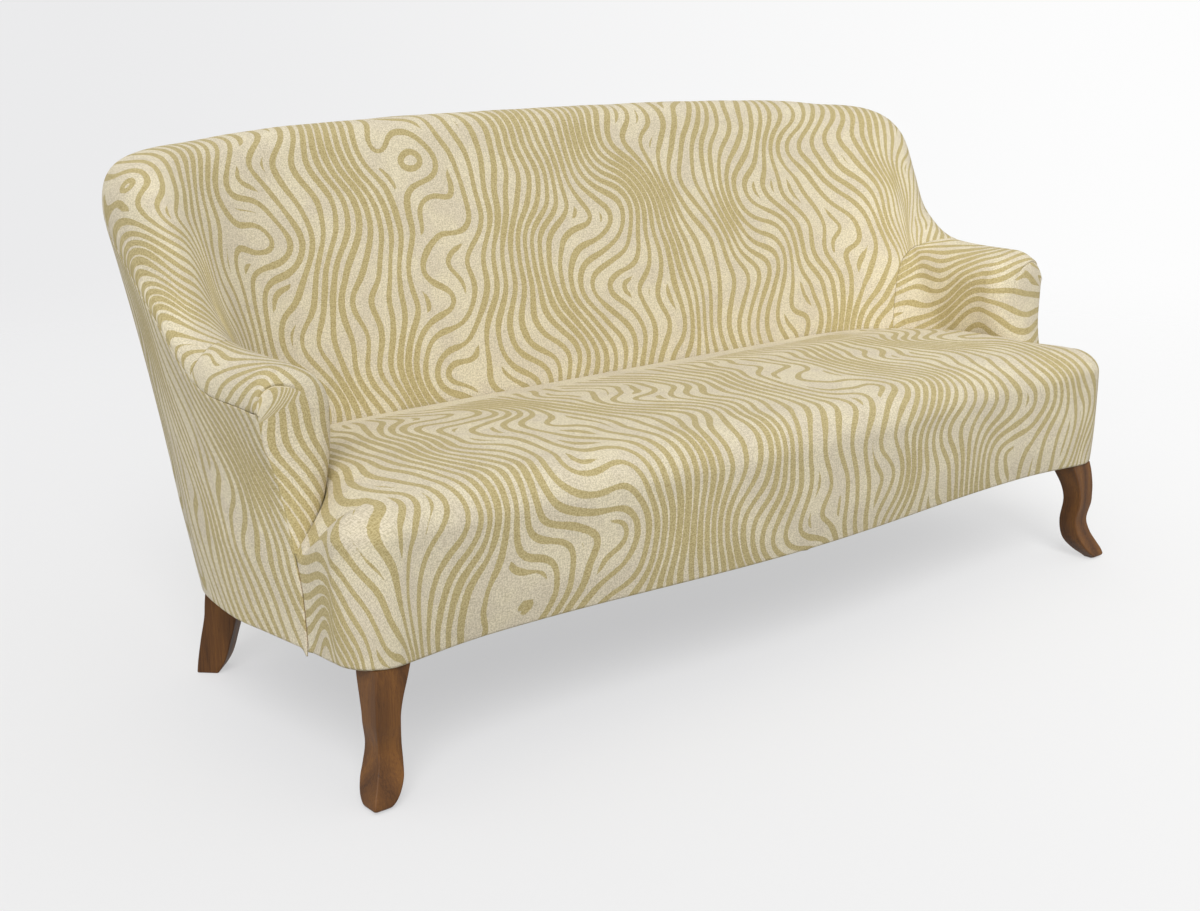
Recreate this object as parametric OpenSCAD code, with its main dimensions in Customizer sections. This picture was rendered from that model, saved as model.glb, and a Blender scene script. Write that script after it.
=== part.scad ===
// Cabriole sofa: tight seat and tight raked back that runs round into low rolled arms,
// over a beech frame, on four shaped oak legs. Millimetres, +Z up, front towards -Y,
// origin on the floor at mid-width and mid-depth.

/* [Overall] */
// Width over the outside arms
sofa_w = 1676; // [1560:1:1800]
// Depth from the front foot line to the rear seam of the crest
sofa_d = 725; // [700:1:760]
// Height of the ridge of the back at its middle
crest_h = 833; // [815:1:860]
// Height of the ridge of the arms
arm_h = 557; // [548:1:570]
// Height of the seat where it meets the back
seat_h = 387; // [380:1:395]
// Height of the seat just behind its rounded front edge
seat_front_h = 405; // [400:1:415]
// Height of the underside of the frame
base_h = 187; // [170:1:200]

/* [Upholstery] */
// Height of the outside seam of the arm
arm_seam_h = 502; // [496:1:510]
// Drop of the rear seam below the crest ridge
crest_seam_drop = 38; // [34:1:46]
// Drop from the arm ridge to the foot of its inner roll
arm_roll_drop = 69; // [62:1:74]
// Drop from the crest ridge to the foot of its front roll
crest_roll_drop = 55; // [50:1:62]
// Crown of the inside back and arms
wall_crown = 12; // [8:1:16]
// How deep the inside covers tuck down past the seat
tuck_d = 52; // [46:1:58]
// Hollow of the outside panels between their edges
panel_hollow = 4; // [2:1:6]
// Fullness of the arm front beyond its seam
nose_full = 12; // [6:1:14]
// Radius of the seat's front top edge
seat_edge_r = 58; // [50:1:64]
// Crown of the seat top
seat_crown = 12; // [6:1:16]
// Fullness of the seat front over its rail
seat_bulge = 12; // [8:1:16]
// Fullness of the seat's front corners
corner_bulge = 20; // [14:1:24]
// How far the middle of the front edge comes forward of its ends
front_bow = 28; // [20:1:34]
// Set-back of the front edge's middle from the foot line
front_set = 8; // [6:1:12]
// Set-in of the rounded front corners from the outside of the arms
front_corner_in = 88; // [84:1:92]
// Radius of the seat's front corners in plan
front_corner_r = 49; // [44:1:52]
// Thickness of the cover cloth
cover_t = 2; // [1.6:0.1:2.2]
// Foam over the middle of the back, as a share of the depth
back_foam_share = 0.0593; // [0.053:0.0001:0.063]
// Foam over the arms
arm_foam_t = 18; // [15:1:20]

/* [Frame] */
// Height of the seat rails
rail_h = 113; // [108:1:118]
// Thickness of the seat rails
rail_t = 28; // [24:1:30]
// Thickness of the boards of the back frame
back_t = 28; // [24:1:30]
// Width of the back posts
back_post_w = 44; // [38:1:48]
// Set-in of a back post's outer side from the outside of the arms
back_post_in = 194; // [190:1:202]
// Height of the top rail of the back
top_rail_h = 70; // [60:1:80]
// Rise of the top rails into the rolls
rail_rise = 24; // [20:1:26]
// Width of the swept rails at the arm fronts
arm_rail_w = 42; // [36:1:44]
// Width of an arm post, front to rear
arm_post_d = 46; // [40:1:50]
// Distance of an arm post behind the front seam of the arm
arm_post_back = 38; // [37:1:42]
// Thickness of the bent panels inside the arms
panel_t = 8; // [6:1:9]
// Thickness of the lower rails of arms and back
low_rail_t = 25; // [22:1:27]
// Height of the lower rail of the back
low_rail_h = 50; // [40:1:54]
// Width of the two uprights of the back
upright_w = 50; // [40:1:60]
// Distance from mid-width to the middle of an upright, as a share of the half width
upright_share = 0.26; // [0.2:0.01:0.3]
// Width of the seat cross rails
cross_rail_w = 32; // [28:1:40]
// Height of the seat cross rails
cross_rail_h = 60; // [50:1:70]
// Distance from mid-width to the middle of a seat cross rail, as a share of the half width
cross_rail_share = 0.31; // [0.28:0.01:0.35]

/* [Springs] */
// Number of sinuous seat springs
spring_count = 9; // [7:2:11]
// Wire thickness of the seat springs
wire_t = 3.6; // [3:0.1:4]
// Width of the zigzag of a spring
spring_w = 52; // [44:1:56]
// Bends along one spring
spring_bends = 14; // [10:2:18]
// Distance between springs, as a share of the width
spring_pitch_share = 0.0823; // [0.0716:0.0001:0.0835]
// Length of a spring clip along the rail top
clip_l = 22; // [18:1:26]
// Width of a spring clip
clip_w = 60; // [50:1:62]
// Thickness of the spring clips
clip_t = 1.5; // [1.2:0.1:2]
// Thickness of the hessian platform
platform_t = 2; // [1.6:0.1:2.4]
// Bands of webbing in the back
webbing_count = 8; // [6:2:10]
// Width of a webbing band
webbing_w = 50; // [44:1:60]
// Thickness of a webbing band
webbing_t = 1.5; // [1.2:0.1:1.8]
// Distance between webbing bands, as a share of the width
webbing_pitch_share = 0.0835; // [0.0716:0.0001:0.0865]

/* [Legs] */
// Side of the square top of a front leg
leg_top = 54; // [50:1:58]
// Set-in of a front leg's outer face from the outside of the arms
leg_in = 56; // [52:1:62]
// Set-back of a front leg's front face from the foot line
leg_y = 22; // [20:1:26]
// How far the toe of a front leg turns out
toe_out = 26; // [20:1:28]
// How far the inner side of a front leg cuts in below the knee
shank_in = 22; // [18:1:24]
// Thickness of a rear leg
rear_leg_t = 45; // [40:1:48]
// Set-in of the middle of a rear leg's top from the outside of the arms
rear_leg_in = 127; // [123:1:133]
// Distance of the middle of a rear leg's top from the foot line, as a share of the depth
rear_leg_share = 0.764; // [0.76:0.001:0.768]
// Width of a rear leg at its top, seen from its side
rear_leg_top = 60; // [54:1:62]
// How far a rear foot kicks out along its diagonal
rear_kick = 28; // [22:1:32]
// Diameter of the leg bolts
bolt_d = 8; // [6:1:10]
// Reach of the leg bolts above and below the leg tops
bolt_reach = 40; // [34:1:46]

/* [Hidden] */

cloth_colour = "#d8cdb0";
beech_colour = "#c8a878";
ply_colour = "#b9935f";
foam_colour = "#efe9d8";
oak_colour = "#7a5330";
steel_colour = "#9a9ca0";
hessian_colour = "#a98f63";
black_cloth_colour = "#2b2b2b";

// Clearance between curved pieces that touch, and between covers and the seat
gap = 0.3;
seat_clear = 2;
// The seat stands further off the arms towards their fronts
arm_clear = 19.5;
arm_clear_shares = [[0, 0], [5, 0], [6.3, .4], [7.5, 1.3], [8.5, 1.45], [10, 1.25]];
function seat_clear_at(s) = seat_clear + (arm_clear - seat_clear) * lookup(s, arm_clear_shares);
overrun = 2;
dust_t = 0.8;
dust_inset = 14;
half_w = sofa_w / 2;
reach_share = .49697;
front_reach = sofa_d * reach_share;
front_run = half_w - front_corner_in;
back_post_x = half_w - back_post_in;
leg_x = half_w - leg_in;
rear_leg_x = half_w - rear_leg_in;
rear_leg_y = sofa_d * rear_leg_share;
back_foam_t = sofa_d * back_foam_share;
spring_pitch = sofa_w * spring_pitch_share;
webbing_pitch = sofa_w * webbing_pitch_share;
upright_x = half_w * upright_share;
cross_rail_x = half_w * cross_rail_share;
rail_top = base_h + rail_h;
foot_h = seat_h - tuck_d;
seam_gap = cover_t + gap;
frame_gap = seam_gap + gap * 2;
crest_seam_h = crest_h - crest_seam_drop;
arm_roll_h = arm_h - arm_roll_drop;
crest_roll_h = crest_h - crest_roll_drop;

// Rows of the upholstery, from the middle of the back round to the arm front. Each is a
// share of the half width, a share of the depth, and a share of the rise from arm to crest.
foot_shares = [[0, .69], [.358, .69], [.621, .686], [.74, .662], [.797, .628],
               [.829, .593], [.853, .552], [.871, .503], [.884, .441], [.889, .317]];
face_shares = [[0, .858, 1], [.358, .857, .993], [.632, .844, .958], [.776, .81, .918],
               [.857, .761, .86], [.895, .703, .697], [.901, .655, .455], [.889, .607, .221],
               [.871, .517, .059], [.852, .324, 0]];
ridge_shares = [[0, .927, 1], [.358, .926, .995], [.632, .913, .972], [.806, .886, .934],
                [.927, .823, .888], [.97, .753, .74], [.968, .69, .454], [.958, .625, .149],
                [.944, .531, .022], [.94, .324, 0]];
seam_shares = [[0, 1, 1], [.358, .999, .99], [.632, .99, .959], [.824, .974, .908],
               [.943, .952, .84], [.99, .897, .71], [1, .793, .522], [1, .662, .266],
               [1, .51, .027], [1, .324, 0]];
hem_shares = [[0, .821, 0], [.358, .821, 0], [.632, .819, 0], [.788, .812, 0], [.871, .789, 0],
              [.925, .728, 0], [.958, .648, 0], [.982, .566, 0], [.994, .428, 0], [.986, .331, 0]];
// Front seam of an arm: share of the height from hem to arm seam, of half width, of depth
front_seam_shares = [[0, .973, .189], [.238, .974, .196], [.406, .975, .214],
                     [.629, .976, .248], [.756, .983, .261], [.867, .995, .27], [1, 1, .273]];
// Where the seat line ends at the arm front
nose_foot_shares = [.901, .225];

// Rake of the back frame, along the face of the back at its middle
back_rake = atan((face_shares[0][1] - foot_shares[0][1]) * sofa_d / (crest_roll_h - seat_h));
arm_post_y = sofa_d * front_seam_shares[6][2] + arm_post_back;

function place(share_x, share_y, z) = [half_w * share_x, sofa_d * share_y - front_reach, z];
function rows_of(shares, low, high) = [for (r = shares) place(r[0], r[1], low + (high - low) * r[2])];
foot_line = [for (r = foot_shares) place(r[0], r[1], seat_h)];
face_line = rows_of(face_shares, arm_roll_h, crest_roll_h);
ridge_line = rows_of(ridge_shares, arm_h, crest_h);
seam_line = rows_of(seam_shares, arm_seam_h, crest_seam_h);
hem_line = rows_of(hem_shares, base_h, base_h);
seat_line = concat(foot_line, [place(nose_foot_shares[0], nose_foot_shares[1], seat_h)]);
last_row = len(foot_line) - 1;

// Smooth curve through the rows; negative places lie on the left side
function unit(v) = v / norm(v);
function mix(a, b, f) = a + (b - a) * f;
function mirror_x(p) = [-p.x, p.y, p.z];
function row(rows, i) = i < 0 ? mirror_x(rows[-i])
    : i < len(rows) ? rows[i] : 2 * rows[len(rows) - 1] - rows[len(rows) - 2];
function through(a, b, c, d, f) =
    (2 * b + (c - a) * f + (2 * a - 5 * b + 4 * c - d) * f * f
     + (3 * b - a - 3 * c + d) * f * f * f) / 2;
function spline(rows, s) =
    let (i = min(floor(s), len(rows) - 2))
    through(row(rows, i - 1), row(rows, i), row(rows, i + 1), row(rows, i + 2), s - i);
function rail_at(rows, s) = s < 0 ? mirror_x(spline(rows, -s)) : spline(rows, s);
row_step = .05;
function rail_dir(rows, s) =
    unit(rail_at(rows, min(s + row_step, last_row)) - rail_at(rows, max(s - row_step, -last_row)));
function hermite(a, b, ta, tb, f) =
    (2 * pow(f, 3) - 3 * pow(f, 2) + 1) * a + (pow(f, 3) - 2 * pow(f, 2) + f) * ta
    + (3 * pow(f, 2) - 2 * pow(f, 3)) * b + (pow(f, 3) - pow(f, 2)) * tb;

// The wall of back and arms: s runs along the rows, v up the face (to face_share), over
// the ridge and down to the outside seam (1). The crown and both rolls are part of it.
face_share = .56;
ridge_share = .78;
roll_pull = 1.25;
function wall_foot(s) =
    let (a = rail_at(foot_line, s), b = rail_at(face_line, s)) a + (a - b) * (a.z - foot_h) / (b.z - a.z);
function wall_up(s) = unit(rail_at(face_line, s) - rail_at(foot_line, s));
function wall_in(s) = unit(cross(rail_dir(foot_line, s), wall_up(s)));
function crown_at(f) = wall_crown * 4 * f * (1 - f);
function wall_at(s, v) =
    let (foot = wall_foot(s), face = rail_at(face_line, s), ridge = rail_at(ridge_line, s),
         seam = rail_at(seam_line, s), hem = rail_at(hem_line, s), inw = wall_in(s),
         across = unit(seam - face))
    v <= face_share
        ? let (f = v / face_share) mix(foot, face, f) + inw * crown_at(f)
    : v < ridge_share
        ? let (f = (v - face_share) / (ridge_share - face_share), r = norm(ridge - face) * roll_pull)
          hermite(face, ridge, unit(face - foot - inw * wall_crown * 4) * r, across * r, f)
        : let (f = (v - ridge_share) / (1 - ridge_share), r = norm(seam - ridge) * roll_pull)
          hermite(ridge, seam, across * r, unit(hem - seam) * r, f);

// Outward side of the wall, and the wall sunk under its own surface
normal_step = .02;
function wall_out(s, v) = unit(cross(
    wall_at(min(s + normal_step, last_row), v) - wall_at(max(s - normal_step, -last_row), v),
    wall_at(s, min(v + normal_step, 1)) - wall_at(s, max(v - normal_step, 0))));
function wall_deep(s, v, depth) = wall_at(s, v) - wall_out(s, v) * depth;

// The surface that foam sits on: flat in the plane of the back frame, then along the arms
back_plane_y = place(0, face_shares[0][1], 0).y + (back_foam_t + seam_gap) / cos(back_rake);
function plane_y(z) = back_plane_y - (crest_roll_h - z) * tan(back_rake);
plane_in = [0, -cos(back_rake), sin(back_rake)];
plane_up = [0, sin(back_rake), cos(back_rake)];
plane_row_shares = [[0, 0], [3, 0], [4.5, 1], [last_row, 1]];
foam_rows = [[0, back_foam_t], [3, back_foam_t], [5, arm_foam_t], [last_row, arm_foam_t]];
rail_rows = [[0, back_t], [4, back_t], [last_row, arm_rail_w]];
function bend(s) = lookup(abs(s), plane_row_shares);
function core_in(s) = unit(mix(plane_in, wall_in(s), bend(s)));
function core_up(s) = unit(mix(plane_up, wall_up(s), bend(s)));
function level(v) = unit([v.x, v.y, 0]);
function core_at(s, f) =
    let (p = mix(wall_foot(s), rail_at(face_line, s), f), w = wall_in(s), n = level(w),
         c = p - n * (lookup(abs(s), foam_rows) + seam_gap) / (w * n))
    [c.x, mix(plane_y(p.z), c.y, bend(s)), p.z];
function behind(s, f, depth) = core_at(s, f) - level(core_in(s)) * depth;
board_gap = gap * 2 + webbing_t;
// The swept rails stand clear of the foam that bends round them
sweep_gap = 5.2;
sweep_gap_rows = [[0, 0], [2.8, 0], [3.1, sweep_gap], [last_row, sweep_gap]];
// Path of the foam's inner side over the top rail, ending inside the outside seam
over_share = .341;
seam_inset_share = .12;
function over_rail(s, f) =
    let (a = core_at(s, 1), b = a + core_up(s) * (rail_rise + gap),
         w = lookup(abs(s), rail_rows) + board_gap + gap + lookup(abs(s), sweep_gap_rows),
         c = b - level(core_in(s)) * w,
         e = mix(rail_at(seam_line, s), rail_at(face_line, s), seam_inset_share))
    f < over_share ? mix(a, b, f / over_share)
    : f < 1 - over_share ? mix(b, c, (f - over_share) / (1 - over_share * 2))
    : mix(c, e, (f - 1 + over_share) / over_share);
function foam_back(s, v) = v <= face_share ? core_at(s, v / face_share)
    : over_rail(s, (v - face_share) / (1 - face_share));

// Front seam of an arm at a height, and the arm front that rolls round to it
function front_seam(z) =
    let (h = min(max(z, base_h), arm_seam_h), f = (h - base_h) / (arm_seam_h - base_h))
    place(lookup(f, [for (r = front_seam_shares) [r[0], r[1]]]),
          lookup(f, [for (r = front_seam_shares) [r[0], r[2]]]), h);
function nose_seam(v) = front_seam(v <= face_share ? wall_at(last_row, v).z
    : mix(arm_roll_h, arm_seam_h, (v - face_share) / (1 - face_share)));
function roll_round(p, q, a, full) =
    [mix(q.x, p.x, cos(a)), mix(p.y, q.y, sin(a)) - full * sin(2 * a), mix(q.z, p.z, cos(a))];
function nose_at(a, v, depth) =
    roll_round(wall_deep(last_row, v, depth), nose_seam(v) + [-depth, depth, 0], a,
               nose_full * min(1, (1 - v) / (1 - face_share)));
nose_pad = 15;
function nose_back(a, v) = roll_round(foam_back(last_row, v),
    nose_seam(v) + [-seam_gap, nose_pad, 0], a, 0);

// Where the inside back meets the inside arm, as a share of the way to the arm front
join_shares = [[0, .6], [.28, .62], [.42, .68], [.56, .76], [.635, .82], [.71, .86],
               [.78, .885], [.85, .89], [.925, .885], [1, .87]];
function join_at(v) = last_row * lookup(v, join_shares);
join_step = .008;
foam_trim_share = .65;

// Steps up the wall, round the arm front and along both covers
wall_shares = [0, .14, .28, .42, .56, .635, .71, .78, .85, .925, 1];
nose_turns = [22.5, 45, 67.5, 90];
back_column_count = 17;
arm_column_count = 5;
back_places = [for (i = [-back_column_count:back_column_count]) i / back_column_count];
arm_places = [for (i = [0:arm_column_count]) i / arm_column_count];
function along(v, f) = mix(join_at(v) / last_row + join_step, 1, f) * last_row;
function back_face(depth) =
    [for (f = back_places) [for (v = wall_shares) wall_deep(join_at(v) * f, v, depth)]];
back_core = [for (f = back_places) [for (v = wall_shares) foam_back(join_at(v) * f, v)]];
function arm_face(depth) = concat(
    [for (f = arm_places) [for (v = wall_shares) wall_deep(along(v, f), v, depth)]],
    [for (a = nose_turns) [for (v = wall_shares) nose_at(a, v, depth)]]);
arm_core = concat([for (f = arm_places) [for (v = wall_shares) foam_back(along(v, f), v)]],
                  [for (a = nose_turns) [for (v = wall_shares) nose_back(a, v)]]);
// The arm foam stops short of the joint with the back foam
function trimmed(g) = concat([[for (j = [0:len(g[0]) - 1]) mix(g[0][j], g[1][j], foam_trim_share)]],
                             [for (i = [1:len(g) - 1]) g[i]]);

// Front outline of the seat at the hem, by distance along it from mid-width
bow_run_share = .77;
end_run_share = .8;
corner_run = front_corner_r * PI / 2;
corner_end = [front_run + front_corner_r, front_line(front_run) + front_corner_r, base_h];
side_run = norm(front_seam(base_h) - corner_end);
outline_end = front_run + corner_run + side_run;
function front_line(x) =
    front_set + front_bow * (1 - cos(180 * min(abs(x) / (front_run * bow_run_share), 1))) / 2
    - front_set * max(0, (abs(x) / front_run - end_run_share) / (1 - end_run_share)) - front_reach;
function outline_right(d) =
    d <= front_run ? [d, front_line(d), base_h]
    : d <= front_run + corner_run
        ? let (a = (d - front_run) / corner_run * 90)
          corner_end + front_corner_r * [sin(a) - 1, -cos(a), 0]
        : mix(corner_end, front_seam(base_h), (d - front_run - corner_run) / side_run);
function outline_at(d) = d < 0 ? mirror_x(outline_right(-d)) : outline_right(d);
outline_step = front_corner_r * .12;
function outline_out(d) =
    let (a = outline_at(max(d - outline_step, -outline_end)),
         t = unit(outline_at(min(d + outline_step, outline_end)) - a))
    [t.y, -t.x, 0];
function inset_at(d, depth) = outline_at(d) - outline_out(d) * depth;

// The seat: up from the hem, over the rounded edge and back to the wall and arm fronts.
// Each column is a distance along the outline, a row on the wall and a share of the joint
// with the arm front.
column_shares = [[0, 0, 0], [.14, .41, 0], [.28, .83, 0], [.42, 1.32, 0], [.56, 1.9, 0],
                 [.67, 2.7, 0], [.77, 4.1, 0], [.848, 6.3, 0], [.877, 7.5, 0], [.906, 8.5, 0],
                 [.935, 9.2, .12], [.967, 9.6, .45], [1, 10, 1]];
border_shares = [0, .25, .5, .75, 1];
edge_turns = [30, 60, 90];
top_shares = [.25, .5, .75, 1];
swell_share = .45;
hem_swell_share = .35;
bulge_rows = [[0, seat_bulge], [.62, seat_bulge], [.85, corner_bulge], [.93, corner_bulge], [1, 0]];
end_fall = 12;
nose_joint_drop = 5;
nose_joint_rise = 11;
end_fall_from = half_w * .74;
nose_joint_low = foot_h - nose_joint_drop;
nose_joint_high = seat_h + nose_joint_rise;
function seat_h_at(x) = seat_front_h
    - end_fall * pow(max(0, (abs(x) - end_fall_from) / (half_w - end_fall_from)), 2);
function seat_rear(s, clear) =
    let (q = min(s, last_row), f = (seat_h - foot_h) / (rail_at(face_line, q).z - foot_h))
    spline(seat_line, s) + wall_in(q) * (crown_at(f) + clear);
function nose_joint(f) =
    let (z = mix(nose_joint_low, nose_joint_high, sin(90 * f)), a = 90 * (1 - f),
         v = face_share * (max(z, foot_h) - foot_h) / (arm_roll_h - foot_h), p = nose_at(a, v, 0))
    [p.x - seat_clear * cos(a), p.y - seat_clear * sin(a), z];
function seat_border(c, f) =
    let (d = c[0] * outline_end, p = outline_at(d), top = seat_h_at(p.x) - seat_edge_r,
         b = lookup(c[0], bulge_rows) * mix(hem_swell_share, 1, sin(90 * min(f / swell_share, 1))),
         joint = front_seam(mix(base_h, nose_joint_low, f)) - [0, gap, 0])
    mix(p + outline_out(d) * b + [0, 0, (top - base_h) * f], joint, c[2]);
function seat_edge(c, a) =
    let (d = c[0] * outline_end, p = outline_at(d), top = seat_h_at(p.x) - seat_edge_r,
         b = lookup(c[0], bulge_rows))
    p + outline_out(d) * (b - (seat_edge_r + b) * (1 - cos(a)))
    + [0, 0, top - base_h + seat_edge_r * sin(a)];
joint_turn_share = .6;
crown_span = sofa_d * .414;
function seat_top(c, f) =
    let (e = seat_edge(c, 90), r = seat_rear(c[1], seat_clear_at(c[1])))
    mix(e, r, f) + [0, 0, seat_crown * min(1, norm(r - e) / crown_span) * 4 * f * (1 - f)];
function seat_column(c) = concat(
    [for (f = border_shares) seat_border(c, f)],
    [for (a = edge_turns) mix(seat_edge(c, a), nose_joint(joint_turn_share * a / 90), c[2])],
    [for (f = top_shares) mix(seat_top(c, f), nose_joint(mix(joint_turn_share, 1, f)), c[2])]);
half_seat = len(column_shares) - 1;
seat_columns = [for (i = [-half_seat:half_seat]) i];
function seat_column_at(i) = i < 0 ? [for (p = seat_column(column_shares[-i])) mirror_x(p)]
    : seat_column(column_shares[i]);
seat_grid = [for (i = seat_columns) seat_column_at(i)];
// What the seat foam sits on: the rail in front, then the platform
platform_z = rail_top + clip_t + wire_t + platform_t + gap * 3;
edge_inset_shares = [.207, .448, .759];
foot_crown_share = .1;
joint_inset_share = .5;
function edge_inset(i, w) = seat_edge_r * edge_inset_shares[i] * mix(1, joint_inset_share, w);
function seat_foot(s) =
    let (q = min(s, last_row), a = spline(seat_line, s), u = wall_up(q))
    a - u * (a.z - platform_z) / u.z + wall_in(q) * (seat_clear + crown_at(foot_crown_share));
function seat_core_column(c) =
    let (d = c[0] * outline_end)
    concat(
        [for (f = border_shares) inset_at(d, seam_gap) + [0, 0, (platform_z - base_h) * f]],
        [for (i = [0:2]) inset_at(d, seam_gap + edge_inset(i, c[2])) + [0, 0, platform_z - base_h]],
        [for (f = top_shares) let (e = inset_at(d, seam_gap + edge_inset(2, c[2])),
                                  r = seat_foot(c[1]))
            [mix(e.x, r.x, f), mix(e.y, r.y, f), platform_z]]);
seat_core = [for (i = seat_columns) i < 0
    ? [for (p = seat_core_column(column_shares[-i])) mirror_x(p)] : seat_core_column(column_shares[i])];

// Outside panels, from the seam down to the hem
panel_shares = [0, .15, .3, .5, .75, 1, 2];
split_count = 8;
panel_joint_share = .0011;
panel_joint = last_row * panel_joint_share;
function wing_row(i) = join_at(1) * i / back_column_count;
wing_rows = [for (i = [split_count:back_column_count]) wing_row(i)];
outside_arm_rows = concat([wing_rows[0] + panel_joint], [for (s = wing_rows) if (s > wing_rows[0]) s],
                          [for (f = arm_places) along(1, f)]);
panel_drop = gap * 5;
// Steps up to 1 span the hollow above the seat rail, and 2 is the hem
function panel_at(s, f) =
    let (a = rail_at(seam_line, s), b = rail_at(hem_line, s), top = a + unit(b - a) * panel_drop,
         out = unit(cross(rail_dir(seam_line, s), b - a)), r = (top.z - rail_top) / (top.z - base_h),
         g = min(f, 1))
    mix(top, b, f > 1 ? 1 : f * r) - out * panel_hollow * 4 * g * (1 - g);
outside_back_grid =
    [for (i = [-split_count:2:split_count]) [for (f = panel_shares) panel_at(wing_row(i), f)]];
outside_arm_grid = concat([for (s = outside_arm_rows) [for (f = panel_shares) panel_at(s, f)]],
    [[for (f = panel_shares) let (z = f > 1 ? base_h : mix(arm_seam_h - panel_drop, rail_top, f))
        front_seam(z) + [0, seam_gap, 0]]]);

// Grids of points: rows of equal length, joined into a closed solid
function cell(g, i, j) = g[min(max(i, 0), len(g) - 1)][min(max(j, 0), len(g[0]) - 1)];
function grid_out(g, i, j) =
    unit(cross(cell(g, i + 1, j) - cell(g, i - 1, j), cell(g, i, j + 1) - cell(g, i, j - 1)));
function sunk(g, depth) = [for (i = [0:len(g) - 1]) [for (j = [0:len(g[0]) - 1])
    g[i][j] - grid_out(g, i, j) * depth]];
function joined(g) = [for (r = g) each r];
function reversed(faces) = [for (f = faces) [f[0], f[2], f[1]]];
// Diagonals slope one way up to column "turn" and the other way after it
module between(outer, inner, turn) {
    n = len(outer);
    m = len(outer[0]);
    function a(i, j) = i * m + j;
    function b(i, j) = n * m + i * m + j;
    function quad(p, q, r, s) = [[p, q, r], [p, r, s]];
    function skin(i, p, q, r, s) = i < turn ? quad(p, q, r, s) : quad(q, r, s, p);
    polyhedron(
        points = concat(joined(outer), joined(inner)),
        faces = concat(
            [for (i = [0:n - 2]) for (j = [0:m - 2])
                each skin(i, a(i, j), a(i, j + 1), a(i + 1, j + 1), a(i + 1, j))],
            [for (i = [0:n - 2]) for (j = [0:m - 2])
                each reversed(skin(i, b(i, j), b(i, j + 1), b(i + 1, j + 1), b(i + 1, j)))],
            [for (i = [0:n - 2]) each quad(a(i, 0), a(i + 1, 0), b(i + 1, 0), b(i, 0))],
            [for (i = [0:n - 2]) each quad(a(i + 1, m - 1), a(i, m - 1), b(i, m - 1), b(i + 1, m - 1))],
            [for (j = [0:m - 2]) each quad(a(0, j + 1), a(0, j), b(0, j), b(0, j + 1))],
            [for (j = [0:m - 2]) each quad(a(n - 1, j + 1), b(n - 1, j + 1), b(n - 1, j), a(n - 1, j))]),
        convexity = 10);
}
module on_side(side) {
    if (side < 0) mirror([1, 0, 0]) children();
    else children();
}
module cloth(outer, inner, turn) color(cloth_colour) between(outer, inner, turn);
last_column = len(arm_core);

// Covers and foam
module seat_cover() cloth(seat_grid, sunk(seat_grid, cover_t), half_seat);
module inside_back_cover() cloth(back_face(0), back_face(cover_t), back_column_count);
module inside_arm_cover_left() on_side(-1) cloth(arm_face(0), arm_face(cover_t), last_column);
module inside_arm_cover_right() cloth(arm_face(0), arm_face(cover_t), last_column);
module outside_arm_cover_left() on_side(-1) cloth(outside_arm_grid, sunk(outside_arm_grid, cover_t), 0);
module outside_arm_cover_right() cloth(outside_arm_grid, sunk(outside_arm_grid, cover_t), 0);
module outside_back_cover() cloth(outside_back_grid, sunk(outside_back_grid, cover_t), 4);
module seat_foam() color(foam_colour) between(sunk(seat_grid, seam_gap), seat_core, half_seat);
module back_foam() color(foam_colour) between(back_face(seam_gap), back_core, back_column_count);
module arm_foam() color(foam_colour) between(trimmed(arm_face(seam_gap)), trimmed(arm_core), last_column);
module arm_foam_left() on_side(-1) arm_foam();
module arm_foam_right() arm_foam();

// Seat rails: boards cut to the curve of the hem
rail_end_share = .81;
front_stops = concat([for (c = column_shares) if (c[0] < rail_end_share) c[0] * outline_end],
                     [rail_end_share * outline_end]);
block_stops = concat([rail_end_share * outline_end + gap],
                     [for (c = column_shares) if (c[0] > rail_end_share && c[0] < 1) c[0] * outline_end],
                     [outline_end - seat_clear]);
function flat(p) = [p.x, p.y];
function inner_front(d) = flat(inset_at(d, frame_gap + rail_t));
function hem_inset(s, depth) =
    let (t = rail_dir(hem_line, s)) flat(rail_at(hem_line, s) + [t.y, -t.x, 0] * depth);
front_half = [for (d = front_stops) flat(inset_at(d, frame_gap))];
front_half_inner = [for (d = front_stops) inner_front(d)];
function reverse(list) = [for (i = [len(list) - 1:-1:0]) list[i]];
function left_of(list) = [for (p = reverse(list)) if (p.x > 0) [-p.x, p.y]];
block_start = front_stops[len(front_stops) - 1];
module board(outline, low, high) translate([0, 0, low]) linear_extrude(high - low) polygon(outline);
module front_seat_rail() color(beech_colour)
    board(concat(left_of(front_half), front_half,
                 reverse(front_half_inner), left_of(reverse(front_half_inner))), base_h, rail_top);
back_rail_rows = concat([-3], [for (i = [-6:2:6]) wing_row(i)], [3]);
back_rail_y = rail_at(hem_line, 0).y - frame_gap - rail_t;
module back_seat_rail() color(beech_colour)
    board(concat([for (s = back_rail_rows) hem_inset(s, frame_gap)],
                 [[rail_at(hem_line, 3).x, back_rail_y], [-rail_at(hem_line, 3).x, back_rail_y]]),
          base_h, rail_top);
side_rail_share = .6556;
rail_joint_share = .0033;
side_rail_start = last_row * side_rail_share;
rail_joint = last_row * rail_joint_share;
side_rail_rows = concat([side_rail_start], [for (s = outside_arm_rows) if (s > side_rail_start) s]);
front_hem = flat(front_seam(base_h));
module side_seat_rail(side) color(beech_colour) on_side(side)
    board(concat([for (s = side_rail_rows) hem_inset(s, frame_gap)],
                 [front_hem + [-frame_gap, gap], front_hem + [-frame_gap - rail_t, gap]],
                 reverse([for (s = side_rail_rows) hem_inset(s, frame_gap + rail_t)])),
          base_h, rail_top);
module side_seat_rail_left() side_seat_rail(-1);
module side_seat_rail_right() side_seat_rail(1);
block_start_share = .3356;
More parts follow.
